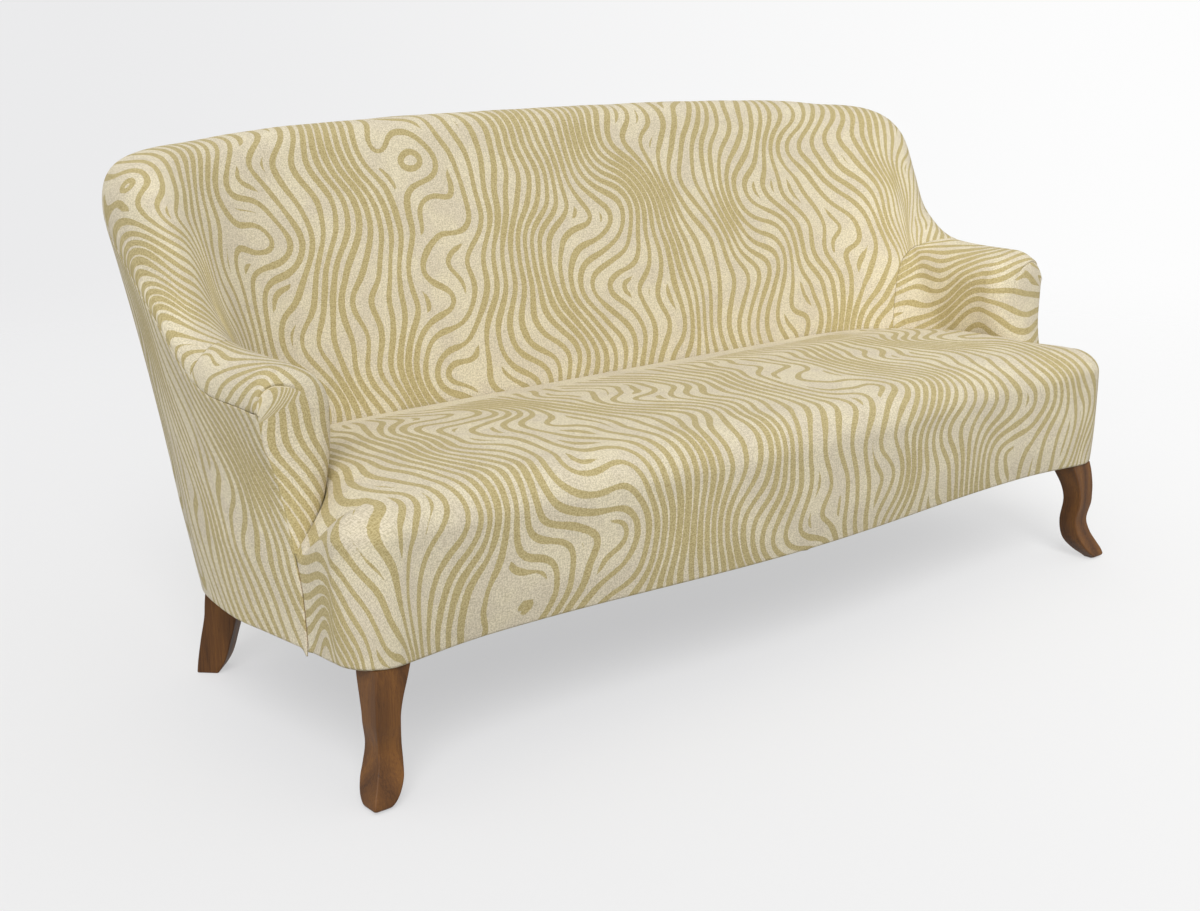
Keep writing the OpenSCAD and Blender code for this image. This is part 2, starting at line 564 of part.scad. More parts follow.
block_rows = concat([last_row * block_start_share],
                    [for (s = wing_rows) if (s < side_rail_start) s], [side_rail_start - rail_joint]);
module bolt_hole(x, y) translate([x, y, base_h - bolt_reach - gap])
    cylinder(h = bolt_reach * 2 + gap * 2, d = bolt_d + gap * 2, $fn = 48);
front_bolt = [leg_x - leg_top / 2, leg_y + leg_top / 2 - front_reach];
rear_bolt = [rear_leg_x, rear_leg_y - front_reach];
module front_corner_block(side) color(beech_colour) on_side(side) difference() {
    board(concat([for (d = block_stops) flat(inset_at(d, frame_gap))],
                 [[inner_front(block_start).x + gap, outline_at(outline_end - seat_clear).y],
                  inner_front(block_start) + [gap, 0]]), base_h, rail_top);
    bolt_hole(front_bolt.x, front_bolt.y);
}
module front_corner_block_left() front_corner_block(-1);
module front_corner_block_right() front_corner_block(1);
module rear_corner_block(side) color(beech_colour) on_side(side) difference() {
    board(concat([for (s = block_rows) hem_inset(s, frame_gap)],
                 [hem_inset(side_rail_start - rail_joint, frame_gap + rail_t),
                  [rail_at(hem_line, block_rows[0]).x, back_rail_y]]), base_h, rail_top);
    bolt_hole(rear_bolt.x, rear_bolt.y);
}
module rear_corner_block_left() rear_corner_block(-1);
module rear_corner_block_right() rear_corner_block(1);
module seat_cross_rail(side) color(beech_colour) on_side(side) {
    front_y = inner_front(cross_rail_x).y + seat_clear;
    translate([cross_rail_x - cross_rail_w / 2, front_y, base_h])
        cube([cross_rail_w, back_rail_y - front_y - gap, cross_rail_h]);
}
module seat_cross_rail_left() seat_cross_rail(-1);
module seat_cross_rail_right() seat_cross_rail(1);

// Back frame: every board lies in one raked plane behind the webbing
frame_origin = [0, plane_y(crest_roll_h), crest_roll_h] - plane_in * board_gap;
module in_back_plane() translate(frame_origin) rotate([-back_rake, 0, 0]) children();
function plane_h(z) = (z - frame_origin.z) / cos(back_rake);
top_rail_low = plane_h(core_at(0, 1).z) - top_rail_h;
low_rail_top = plane_h(foot_h) + low_rail_h;
crest_row_shares = [0, .6, 1.2, 1.7, 2.2, 2.6, 3];
function crest_point(s) = let (b = core_at(s, 1) + plane_up * (rail_rise - gap * 4)) [b.x, plane_h(b.z)];
crest_half = [for (s = crest_row_shares) crest_point(s)];
module back_top_rail() color(beech_colour) in_back_plane() rotate([90, 0, 0]) mirror([0, 0, 1])
    linear_extrude(back_t) polygon(concat(
        crest_half, [[crest_half[6].x, top_rail_low], [-crest_half[6].x, top_rail_low]],
        [for (p = reverse(crest_half)) if (p.x > 0) [-p.x, p.y]]));
module plane_board(x, w, low, high) in_back_plane()
    translate([x - w / 2, 0, low]) cube([w, back_t, high - low]);
module back_lower_rail() color(beech_colour)
    plane_board(0, (back_post_x - back_post_w - gap) * 2, plane_h(foot_h), low_rail_top);
module back_upright_left() color(beech_colour)
    plane_board(-upright_x, upright_w, low_rail_top, top_rail_low);
module back_upright_right() color(beech_colour)
    plane_board(upright_x, upright_w, low_rail_top, top_rail_low);
// A back post is sawn to shape: upright against the seat rail, then raked
module back_post(side) color(beech_colour) on_side(side) {
    top = frame_origin + plane_up * top_rail_low;
    rear_top = top - plane_in * back_t;
    knee_y = frame_origin.y - (frame_origin.z - rail_top) * tan(back_rake);
    translate([back_post_x - back_post_w, 0, 0]) rotate([90, 0, 90]) linear_extrude(back_post_w)
        polygon([[knee_y, base_h], [back_rail_y, base_h], [back_rail_y, rail_top],
                 [rear_top.y, rear_top.z], [top.y, top.z], [knee_y, rail_top]]);
}
module back_post_left() back_post(-1);
module back_post_right() back_post(1);
web_low = plane_h(foot_h);
web_high = crest_point(2).y - rail_rise;
module back_webbing() color(hessian_colour)
    for (i = [0:webbing_count - 1])
        in_back_plane()
            translate([(i - (webbing_count - 1) / 2) * webbing_pitch - webbing_w / 2, -gap - webbing_t, web_low])
            cube([webbing_w, webbing_t, web_high - web_low]);

// Arm frame: bent panels and swept top rails that follow the wall
panel_column_count = 18;
panel_start_share = .4333;
panel_rows = [for (i = [0:panel_column_count])
    mix(panel_start_share, 1, i / panel_column_count) * last_row];
panel_height_shares = [0, .33, .67, 1];
panel_gap = 2.4;
module arm_panel(side) color(ply_colour) on_side(side)
    between([for (s = panel_rows) [for (f = panel_height_shares) behind(s, f, panel_gap)]],
            [for (s = panel_rows) [for (f = panel_height_shares) behind(s, f, panel_gap + panel_t)]],
            len(panel_rows));
module arm_panel_left() arm_panel(-1);
module arm_panel_right() arm_panel(1);
sweep_start_shares = [.35, .389];
sweep_rows = concat(sweep_start_shares * last_row, panel_rows);
function sweep_low(s) = behind(s, 1, panel_gap) + core_up(s) * gap;
function sweep_high(s) = sweep_low(s) + core_up(s) * (rail_rise - sweep_gap);
module arm_top_rail(side) color(beech_colour) on_side(side)
    between([for (s = sweep_rows) [sweep_low(s), sweep_high(s)]],
            [for (s = sweep_rows) let (w = level(core_in(s)) * lookup(s, rail_rows))
                [sweep_low(s) - w, sweep_high(s) - w]], len(sweep_rows));
module arm_top_rail_left() arm_top_rail(-1);
module arm_top_rail_right() arm_top_rail(1);
low_row_shares = [3.9, 4.4, 4.9, 5.4, 6, 6.7, 7.4, 7.9];
module arm_lower_rail(side) color(beech_colour) on_side(side)
    board(concat([for (s = low_row_shares) flat(behind(s, 0, panel_gap + low_rail_t))],
                 reverse([for (s = low_row_shares) flat(behind(s, 0, panel_gap))])),
          rail_top, foot_h - gap);
module arm_lower_rail_left() arm_lower_rail(-1);
module arm_lower_rail_right() arm_lower_rail(1);
// An arm post leans with the arm, from the side rail up under the swept rail
post_foot_w = 24;
post_clear = 1.2;
post_share = .933;
post_row = last_row * post_share;
module arm_post(side) color(beech_colour) on_side(side) {
    in = behind(post_row, 1, post_clear + panel_gap + panel_t);
    out = behind(post_row, 1, arm_rail_w);
    foot_x = hem_inset(last_row, frame_gap).x;
    translate([0, arm_post_y + arm_post_d - front_reach, 0]) rotate([90, 0, 0]) linear_extrude(arm_post_d)
        polygon([[foot_x - post_foot_w, rail_top], [foot_x, rail_top],
                 [out.x, arm_roll_h], [in.x, arm_roll_h]]);
}
module arm_post_left() arm_post(-1);
module arm_post_right() arm_post(1);

// Springs, clips, platform
spring_z = rail_top + clip_t + gap;
function spring_x(i) = (i - (spring_count - 1) / 2) * spring_pitch;
module clip_pair(x) {
    front_y = inner_front(abs(x)).y;
    for (y = [front_y - clip_l, back_rail_y])
        translate([x - clip_w / 2, y, rail_top]) cube([clip_w, clip_l, clip_t]);
}
module spring_clips() color(steel_colour) for (i = [0:spring_count - 1]) clip_pair(spring_x(i));
bend_step_count = 6;
function wave(x, y0, y1, side) = [for (k = [0:spring_bends * bend_step_count])
    let (f = k / (spring_bends * bend_step_count), a = f * spring_bends * 180,
         slope = [-spring_w / 2 * cos(a) * spring_bends * PI, y1 - y0], n = unit([slope.y, -slope.x]))
    [x + spring_w / 2 * -sin(a), mix(y0, y1, f)] + n * side * wire_t / 2];
module seat_springs() color(steel_colour)
    for (i = [0:spring_count - 1]) {
        x = spring_x(i);
        y0 = inner_front(abs(x)).y - clip_l / 2;
        y1 = back_rail_y + clip_l / 2;
        translate([0, 0, spring_z]) linear_extrude(wire_t)
            polygon(concat(wave(x, y0, y1, 1), reverse(wave(x, y0, y1, -1))));
    }
platform_x = half_w * .811;
platform_rear = [for (s = [last_row:-1:2]) flat(seat_foot(s)) - [seat_clear, 0]];
module seat_platform() color(hessian_colour)
    translate([0, 0, platform_z - gap - platform_t]) linear_extrude(platform_t)
        polygon(concat(
            left_of([for (d = front_stops) if (d < platform_x) flat(inset_at(d, frame_gap + clip_l / 4))]),
            [for (d = front_stops) if (d < platform_x) flat(inset_at(d, frame_gap + clip_l / 4))],
            platform_rear, left_of(platform_rear)));
dust_rows = [for (i = [3:last_row]) i];
rear_leg_turn = 45;
module dust_cover() color(black_cloth_colour)
    translate([0, 0, base_h - dust_t]) linear_extrude(dust_t) difference() {
    polygon(concat(left_of([for (d = front_stops) flat(inset_at(d, dust_inset))]),
                   [for (d = front_stops) flat(inset_at(d, dust_inset))],
                   [front_hem - [dust_inset, 0]],
                   reverse([for (s = dust_rows) hem_inset(s, dust_inset)]),
                   [for (s = dust_rows) let (p = hem_inset(s, dust_inset)) [-p.x, p.y]],
                   [[-front_hem.x + dust_inset, front_hem.y]]));
    for (side = [-1, 1]) {
        translate([side * front_bolt.x, front_bolt.y]) square(leg_top + gap * 4, center = true);
        translate([side * rear_bolt.x, rear_bolt.y]) rotate(side * rear_leg_turn)
            square([rear_leg_top + toe_out, rear_leg_t + gap * 4], center = true);
    }
}

// Front legs: square in section, sawn to the same double curve on both pairs of faces.
// Each row is a share of the leg height, of the toe's turn-out, and of the shank's cut.
front_leg_shares = [[1, 0, 0], [.9, .13, .34], [.77, .23, .76], [.66, .25, .97], [.57, .23, 1],
                    [.41, .06, .87], [.28, .27, .95], [.18, .6, 1.2], [.09, .92, 1.75], [.03, 1, 2.3],
                    [0, .62, 2.55]];
leg_step_count = 30;
function leg_row(shares, i) = shares[min(max(i, 0), len(shares) - 1)];
function leg_curve(shares, t) =
    let (i = min(floor(t), len(shares) - 2))
    through(leg_row(shares, i - 1), leg_row(shares, i), leg_row(shares, i + 1), leg_row(shares, i + 2), t - i);
front_leg_curve = [for (i = [0:leg_step_count])
    leg_curve(front_leg_shares, i / leg_step_count * (len(front_leg_shares) - 1))];
front_leg_profile = concat([for (p = front_leg_curve) [toe_out * p[1], base_h * p[0]]],
                           reverse([for (p = front_leg_curve) [shank_in * p[2] - leg_top, base_h * p[0]]]));
module front_leg(side) color(oak_colour) on_side(side) difference() {
    translate([leg_x, leg_y - front_reach, 0]) intersection() {
        translate([0, leg_top + overrun, 0]) rotate([90, 0, 0])
            linear_extrude(leg_top + toe_out + overrun * 2) polygon(front_leg_profile);
        translate([-leg_top - overrun, 0, 0]) rotate([90, 0, 90])
            linear_extrude(leg_top + toe_out + overrun * 2)
            polygon([for (p = reverse(front_leg_profile)) [-p.x, p.y]]);
    }
    bolt_hole(front_bolt.x, front_bolt.y);
}
module front_leg_left() front_leg(-1);
module front_leg_right() front_leg(1);
// Rear legs: sabre curve in the diagonal plane. Each row is a share of the height, then of
// the kick for the outer side and for the inner side.
rear_leg_shares = [[1, 0, 0], [.65, .3, .7], [.5, .4, .72], [.3, .68, 1.08], [.12, .9, 1.46], [0, 1, 1.93]];
rear_step_count = 15;
rear_leg_curve = [for (i = [0:rear_step_count])
    leg_curve(rear_leg_shares, i / rear_step_count * (len(rear_leg_shares) - 1))];
module rear_leg(side) color(oak_colour) on_side(side) difference() {
    translate([rear_bolt.x, rear_bolt.y, 0]) rotate(rear_leg_turn) translate([-rear_leg_top / 2, rear_leg_t / 2, 0])
        rotate([90, 0, 0]) linear_extrude(rear_leg_t)
            polygon(concat([for (p = rear_leg_curve) [rear_leg_top + rear_kick * p[1], base_h * p[0]]],
                           reverse([for (p = rear_leg_curve) [rear_kick * p[2], base_h * p[0]]])));
    bolt_hole(rear_bolt.x, rear_bolt.y);
}
module rear_leg_left() rear_leg(-1);
module rear_leg_right() rear_leg(1);
module leg_bolts() color(steel_colour)
    for (side = [-1, 1]) for (p = [front_bolt, rear_bolt])
        translate([side * p.x, p.y, base_h - bolt_reach])
            cylinder(h = bolt_reach * 2, d = bolt_d, $fn = 48);

front_seat_rail();
back_seat_rail();
side_seat_rail_left();
side_seat_rail_right();
seat_cross_rail_left();
seat_cross_rail_right();
front_corner_block_left();
front_corner_block_right();
rear_corner_block_left();
rear_corner_block_right();
back_post_left();
back_post_right();
back_top_rail();
back_lower_rail();
back_upright_left();
back_upright_right();
arm_post_left();
arm_post_right();
arm_top_rail_left();
arm_top_rail_right();
arm_lower_rail_left();
arm_lower_rail_right();
arm_panel_left();
arm_panel_right();
seat_springs();
spring_clips();
seat_platform();
back_webbing();
seat_foam();
back_foam();
arm_foam_left();
arm_foam_right();
seat_cover();
inside_back_cover();
inside_arm_cover_left();
inside_arm_cover_right();
outside_arm_cover_left();
outside_arm_cover_right();
outside_back_cover();
dust_cover();
front_leg_left();
front_leg_right();
rear_leg_left();
rear_leg_right();
leg_bolts();
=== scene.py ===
"""Cabriole sofa: patterned cloth drawn over foam on a beech frame, with four shaped oak legs."""
import math
import bpy
import bmesh
import numpy as np
from mathutils import Matrix, Vector


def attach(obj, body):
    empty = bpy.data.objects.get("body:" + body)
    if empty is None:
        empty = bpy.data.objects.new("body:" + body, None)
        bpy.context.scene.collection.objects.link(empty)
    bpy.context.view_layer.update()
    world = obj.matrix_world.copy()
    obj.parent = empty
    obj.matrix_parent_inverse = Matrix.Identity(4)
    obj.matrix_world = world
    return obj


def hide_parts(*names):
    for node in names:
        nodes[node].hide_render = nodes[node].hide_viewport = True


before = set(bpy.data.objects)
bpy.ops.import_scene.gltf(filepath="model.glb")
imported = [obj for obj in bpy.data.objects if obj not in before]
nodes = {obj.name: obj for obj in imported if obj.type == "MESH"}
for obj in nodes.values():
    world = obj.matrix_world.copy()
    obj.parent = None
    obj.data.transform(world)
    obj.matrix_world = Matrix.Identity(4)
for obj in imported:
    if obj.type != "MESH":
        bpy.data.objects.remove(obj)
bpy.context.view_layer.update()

# Sizes of the sofa, in metres
HALF_W, DEPTH, REACH = .838, .725, .3603
CREST_H, ARM_H, SEAT_H, SEAT_FRONT_H, BASE_H = .833, .557, .387, .405, .187
ARM_SEAM_H, CREST_SEAM_H = .502, .795
ARM_ROLL_H, CREST_ROLL_H = .488, .778
FOOT_H = SEAT_H - .052
RAIL_TOP, PLATFORM_H = .3, .308
WALL_CROWN = .012
CLOTH_T, FOAM_GAP = .002, .0023
FACE_END, RIDGE_END = .56, .78
ROLL_PULL = 1.25
UP = np.array([0, 0, 1.0])


def rail(shares, low, high):
    """Rows of a guide line, from the middle of the back round to the arm front."""
    rows = np.array([[HALF_W * x, DEPTH * y - REACH, low + (high - low) * z] for x, y, z in shares])
    first = rows[1] * [-1, 1, 1]
    return np.vstack([first, rows, 2 * rows[-1] - rows[-2]])


FOOT = rail([(0, .69, 0), (.358, .69, 0), (.621, .686, 0), (.74, .662, 0), (.797, .628, 0), (.829, .593, 0),
             (.853, .552, 0), (.871, .503, 0), (.884, .441, 0), (.889, .317, 0)], SEAT_H, SEAT_H)
FACE = rail([(0, .858, 1), (.358, .857, .993), (.632, .844, .958), (.776, .81, .918), (.857, .761, .86),
             (.895, .703, .697), (.901, .655, .455), (.889, .607, .221), (.871, .517, .059), (.852, .324, 0)],
            ARM_ROLL_H, CREST_ROLL_H)
RIDGE = rail([(0, .927, 1), (.358, .926, .995), (.632, .913, .972), (.806, .886, .934), (.927, .823, .888),
              (.97, .753, .74), (.968, .69, .454), (.958, .625, .149), (.944, .531, .022), (.94, .324, 0)],
             ARM_H, CREST_H)
SEAM = rail([(0, 1, 1), (.358, .999, .99), (.632, .99, .959), (.824, .974, .908), (.943, .952, .84),
             (.99, .897, .71), (1, .793, .522), (1, .662, .266), (1, .51, .027), (1, .324, 0)],
            ARM_SEAM_H, CREST_SEAM_H)
HEM = rail([(0, .821, 0), (.358, .821, 0), (.632, .819, 0), (.788, .812, 0), (.871, .789, 0), (.925, .728, 0),
            (.958, .648, 0), (.982, .566, 0), (.994, .428, 0), (.986, .331, 0)], BASE_H, BASE_H)
LAST = 9
# Front seam of an arm: share of the height, of half the width, of the depth
FRONT_SEAM = [(0, .973, .189), (.238, .974, .196), (.406, .975, .214), (.629, .976, .248), (.756, .983, .261),
              (.867, .995, .27), (1, 1, .273)]
# Where the inside back meets the inside arm, up the wall: first the cover, then the foam under it
COVER_JOIN = [(0, .53), (.12, .54), (.22, .565), (.3, .6), (.395, .675), (.5, .755), (.62, .825), (.7, .86),
              (.76, .885), (.85, .893), (.925, .885), (1, .87)]
FOAM_JOIN = [(0, .6), (.28, .62), (.42, .68), (.56, .76), (.635, .82), (.71, .86), (.78, .885), (.85, .89),
             (.925, .885), (1, .87)]


def as_grids(a, b):
    """Both as arrays of one shape."""
    return np.broadcast_arrays(np.asarray(a, float), np.asarray(b, float))


def grid(a, b):
    """Places on a cloth, a along its rows and b up them."""
    return np.meshgrid(a, b, indexing="ij")


def unit(v):
    return v / np.maximum(np.linalg.norm(v, axis=-1, keepdims=True), 1e-12)


def mix(a, b, f):
    return a + (b - a) * f


def ease(f):
    f = np.clip(f, 0, 1)
    return f * f * (3 - 2 * f)


def step_up(x, low, high=1.0):
    """Eases from 0 at low to 1 at high."""
    return ease((x - low) / (high - low))


def hump(f):
    """Rises from 0 to 1 halfway, and falls back to 0."""
    return 4 * f * (1 - f)


def table(x, rows, col=1, blur=0.0):
    """A value read off a table, with its corners eased over the width blur."""
    xs, ys = [r[0] for r in rows], [r[col] for r in rows]
    if not blur:
        return np.interp(x, xs, ys)
    return np.mean([np.interp(x + blur * k, xs, ys) for k in np.linspace(-1, 1, 9)], axis=0)


def through(rows, t):
    """Smooth curve through rows, the first and last of which only lead in and out."""
    i = np.minimum(np.floor(t).astype(int), len(rows) - 4)
    f = (t - i)[..., None]
    a, b, c, d = rows[i], rows[i + 1], rows[i + 2], rows[i + 3]
    return (2 * b + (c - a) * f + (2 * a - 5 * b + 4 * c - d) * f ** 2 + (3 * b - a - 3 * c + d) * f ** 3) / 2


def follow(rows, s):
    """Point on a guide line; negative places lie on the left side."""
    s = np.asarray(s, float)
    side = np.where(s < 0, -1.0, 1.0)
    return through(rows, np.abs(s)) * np.stack([side, np.ones_like(side), np.ones_like(side)], -1)


def heading(rows, s, step=.05):
    return unit(follow(rows, np.minimum(s + step, LAST)) - follow(rows, np.maximum(s - step, -LAST)))


def hermite(a, b, ta, tb, f):
    return ((2 * f ** 3 - 3 * f ** 2 + 1) * a + (f ** 3 - 2 * f ** 2 + f) * ta
            + (3 * f ** 2 - 2 * f ** 3) * b + (f ** 3 - f ** 2) * tb)


def wall_up(s):
    return unit(follow(FACE, s) - follow(FOOT, s))


def wall_in(s):
    """Level-ish direction from the wall towards the sitter."""
    return unit(np.cross(heading(FOOT, s), wall_up(s)))


def wall_foot(s):
    foot, face = follow(FOOT, s), follow(FACE, s)
    return foot + (foot - face) * ((SEAT_H - FOOT_H) / (face[..., 2:] - SEAT_H))


def wall(s, v):
    """The wall of back and arms: s along the rows, v up the face, over the ridge, down to the seam."""
    s, v = as_grids(s, v)
    foot, face = wall_foot(s), follow(FACE, s)
    ridge, seam, hem, inward = follow(RIDGE, s), follow(SEAM, s), follow(HEM, s), wall_in(s)
    across = unit(seam - face)
    v = v[..., None]
    f = np.minimum(v / FACE_END, 1)
    low = mix(foot, face, f) + inward * WALL_CROWN * hump(f)
    f = np.clip((v - FACE_END) / (RIDGE_END - FACE_END), 0, 1)
    r = np.linalg.norm(ridge - face, axis=-1, keepdims=True) * ROLL_PULL
    roll = hermite(face, ridge, unit(face - foot - inward * WALL_CROWN * 4) * r, across * r, f)
    f = np.clip((v - RIDGE_END) / (1 - RIDGE_END), 0, 1)
    r = np.linalg.norm(seam - ridge, axis=-1, keepdims=True) * ROLL_PULL
    back = hermite(ridge, seam, across * r, unit(hem - seam) * r, f)
    return np.where(v <= FACE_END, low, np.where(v < RIDGE_END, roll, back))


def wall_out(s, v, step=.02):
    s, v = as_grids(s, v)
    return unit(np.cross(wall(np.minimum(s + step, LAST), v) - wall(np.maximum(s - step, -LAST), v),
                         wall(s, np.minimum(v + step, 1)) - wall(s, v - step)))


def wall_deep(s, v, depth):
    return wall(s, v) - wall_out(s, v) * depth


def cover_join(v):
    return table(v, COVER_JOIN, 1, .04)


def front_seam(z):
    h = np.clip(z, BASE_H, ARM_SEAM_H)
    f = (h - BASE_H) / (ARM_SEAM_H - BASE_H)
    x, y = (table(f, FRONT_SEAM, col, .05) for col in (1, 2))
    return np.stack([HALF_W * x, DEPTH * y - REACH, h], -1)


def nose_seam(v):
    z = np.where(v <= FACE_END, wall(LAST, v)[..., 2],
                 mix(ARM_ROLL_H, ARM_SEAM_H, (v - FACE_END) / (1 - FACE_END)))
    return front_seam(z)


NOSE_FULL = .012


def roll_round(p, q, a, full):
    a = np.radians(a)
    ca, sa = np.cos(a), np.sin(a)
    return np.stack([mix(q[..., 0], p[..., 0], ca), mix(p[..., 1], q[..., 1], sa) - full * np.sin(2 * a),
                     mix(q[..., 2], p[..., 2], ca)], -1)


def nose(a, v, depth=0.0):
    """The rounded front of an arm, from the wall (a = 0) to its front seam (a = 90)."""
    a, v = as_grids(a, v)
    full = NOSE_FULL * np.minimum(1, (1 - v) / (1 - FACE_END))
    return roll_round(wall_deep(np.full_like(v, LAST), v, depth), nose_seam(v) + np.array([-depth, depth, 0]),
                      a, full)


# Front outline of the seat, by distance along it from mid-width
FRONT_RUN, CORNER_R = .75, .049
FRONT_BOW, FRONT_SET = .028, .008
BOW_SHARE, SET_FROM = .77, .8


def front_line(x):
    x = np.abs(x)
    bow = (1 - np.cos(math.pi * np.minimum(x / (FRONT_RUN * BOW_SHARE), 1))) / 2
    turn = np.maximum(0, (x / FRONT_RUN - SET_FROM) / (1 - SET_FROM))
    return FRONT_SET + FRONT_BOW * bow - FRONT_SET * turn - REACH


CORNER_RUN = CORNER_R * math.pi / 2
CORNER_END = np.array([FRONT_RUN + CORNER_R, float(front_line(FRONT_RUN)) + CORNER_R, BASE_H])
SIDE_END = front_seam(np.array(BASE_H))
SIDE_RUN = float(np.linalg.norm(SIDE_END - CORNER_END))
OUTLINE_END = FRONT_RUN + CORNER_RUN + SIDE_RUN


def outline(d):
    """Right half of the front outline at the hem."""
    a = np.clip((d - FRONT_RUN) / CORNER_RUN, 0, 1) * math.pi / 2
    f = np.clip((d - FRONT_RUN - CORNER_RUN) / SIDE_RUN, 0, 1)
    straight = np.abs(d) <= FRONT_RUN
    x = np.where(straight, d, FRONT_RUN + CORNER_R * np.sin(a) + (SIDE_END[0] - CORNER_END[0]) * f)
    y = np.where(straight, front_line(d),
                 front_line(FRONT_RUN) + CORNER_R * (1 - np.cos(a)) + (SIDE_END[1] - CORNER_END[1]) * f)
    return np.stack([x, y, np.full_like(x, BASE_H)], -1)


def outline_out(d, step=.006):
    t = unit(outline(np.minimum(d + step, OUTLINE_END)) - outline(d - step))
    return np.stack([t[..., 1], -t[..., 0], np.zeros_like(d)], -1)


# Runs of the seat cover: share of the outline, row on the wall where it ends
SEAT_RUNS = [(0, 0), (.14, .41), (.28, .83), (.42, 1.32), (.54, 1.9), (.64, 2.9), (.7, 4.2), (.74, 5.8),
             (.775, 7.6), (.8, 9), (1, 9)]
# Shares of the outline where the corner starts and is full, and where the arm and its seam come near
CORNER_FROM, CORNER_FULL, SIDE_FROM, SEAM_NEAR, SEAM_PULL = .7, .85, .8, .9, .93
SEAT_EDGE_R, CORNER_EDGE_R, SEAM_EDGE_R = .058, .042, .014
SEAT_CROWN, SEAT_BULGE, CORNER_BULGE = .012, .012, .017
BULGES = [(0, SEAT_BULGE), (.62, SEAT_BULGE), (.85, CORNER_BULGE), (.93, CORNER_BULGE), (1, 0)]
NOSE_LOW, NOSE_HIGH = .319, .388
HEM_SWELL, CORNER_SWELL, SWELL_RISE = .35, .75, .45
CROWN_SPAN, SEAM_LIP, SEAM_GAP, TOUCH = .3, .003, .0003, .0016
CORNER_DROP, DROP_FROM = .012, .62


def seat_height(x):
    return SEAT_FRONT_H - CORNER_DROP * np.maximum(0, (np.abs(x) - DROP_FROM) / (HALF_W - DROP_FROM)) ** 2


def nose_joint(f):
    """Where the seat meets the front of the arm, from the seam (0) to the inside of the arm (1)."""
    z = mix(NOSE_LOW, NOSE_HIGH, np.sin(math.pi / 2 * f))
    a = 90 * (1 - f)
    p = nose(a, FACE_END * (z - FOOT_H) / (ARM_ROLL_H - FOOT_H))
    turn = np.radians(a)
    return np.stack([p[..., 0] - TOUCH * np.cos(turn), p[..., 1] - TOUCH * np.sin(turn), z], -1)


def seat_end(c):
    s = np.minimum(table(c, SEAT_RUNS, 1, .006), LAST)
    f = (SEAT_H - FOOT_H) / (follow(FACE, s)[..., 2] - FOOT_H)
    on_wall = follow(FOOT, s) + wall_in(s) * (WALL_CROWN * hump(f) + TOUCH)[..., None]
    on_arm = nose_joint(np.clip((1 - c) / (1 - SIDE_FROM), 0, 1))
    return np.where((c < SIDE_FROM)[..., None], on_wall, on_arm)


def seat_section(c, t):
    """The seat cover: c along the right half of the outline, t up the border (0 to 1), over the
    edge (to 2) and back to the wall (to 3)."""
    d = c * OUTLINE_END
    p, out, end = outline(d), outline_out(d), seat_end(c)
    near = step_up(c, SEAM_NEAR)
    corner = step_up(c, CORNER_FROM, CORNER_FULL)
    radius = mix(mix(SEAT_EDGE_R, CORNER_EDGE_R, corner), SEAM_EDGE_R, near)[..., None]
    top = (mix(seat_height(p[..., 0]), end[..., 2] + SEAM_LIP, near) - BASE_H)[..., None]
    bulge = table(c, BULGES, 1, .02)[..., None]
    f = np.clip(t, 0, 1)[..., None]
    rise = np.sin(math.pi / 2 * np.minimum(f / SWELL_RISE, 1))
    swelled = mix(mix(HEM_SWELL, CORNER_SWELL, corner)[..., None], 1, rise)
    border = p + out * bulge * swelled + UP * (top - radius) * f
    a = np.radians(90 * np.clip(t - 1, 0, 1))[..., None]
    edge = p + out * (bulge - (radius + bulge) * (1 - np.cos(a))) + UP * (top - radius + radius * np.sin(a))
    f = np.clip(t - 2, 0, 1)[..., None]
    crest = p - out * radius + UP * top
    span = np.linalg.norm(end - crest, axis=-1, keepdims=True)
    over = mix(crest, end, f) + UP * SEAT_CROWN * np.minimum(1, span / CROWN_SPAN) * hump(f)
    return np.where(t[..., None] <= 1, border, np.where(t[..., None] <= 2, edge, over))


def seat_surface(c, t):
    """The seat cover drawn in so that its side lies along the front seam of the arm."""
    c, t = as_grids(c, t)
    up_seam = front_seam(mix(BASE_H, NOSE_LOW, np.interp(t, [0, 1, 2, 3], [0, .86, .95, 1])))
    at_seam = seat_section(np.ones_like(c), t)
    pull = (step_up(c, SEAM_PULL) * ease((3 - t) / .3))[..., None]
    return seat_section(c, t) + (up_seam - np.array([0, SEAM_GAP, 0]) - at_seam) * pull


# Outside panels, from the seam down to the hem
SPLIT_ROW = LAST * .87 * 8 / 17
PANEL_HOLLOW, PANEL_DROP = .004, .0004


def panel(s, f):
    """Outside cloth: s along the rows, f down from the seam (0) to the hem (1)."""
    s, f = as_grids(s, f)
    a, b = follow(SEAM, s), follow(HEM, s)
    top = a + unit(b - a) * PANEL_DROP
    out = unit(np.cross(heading(SEAM, s), b - a))
    span = ((top[..., 2] - RAIL_TOP) / (top[..., 2] - BASE_H))[..., None]
    g = np.minimum(f[..., None] / span, 1)
    return mix(top, b, f[..., None]) - out * PANEL_HOLLOW * hump(g)


# What the foam lies on: the raked frame of the back, then the panels and rails of the arms
RAKE = math.atan((.858 - .69) * DEPTH / (CREST_ROLL_H - SEAT_H))
BACK_FOAM, ARM_FOAM, RAIL_RISE, RAIL_GAP = DEPTH * .0593, .018, .024, .0003
PLANE_IN = np.array([0, -math.cos(RAKE), math.sin(RAKE)])
PLANE_UP = np.array([0, math.sin(RAKE), math.cos(RAKE)])
PLANE_Y = DEPTH * .858 - REACH + (BACK_FOAM + FOAM_GAP) / math.cos(RAKE)


def level(v):
    return unit(v * np.array([1, 1, 0]))


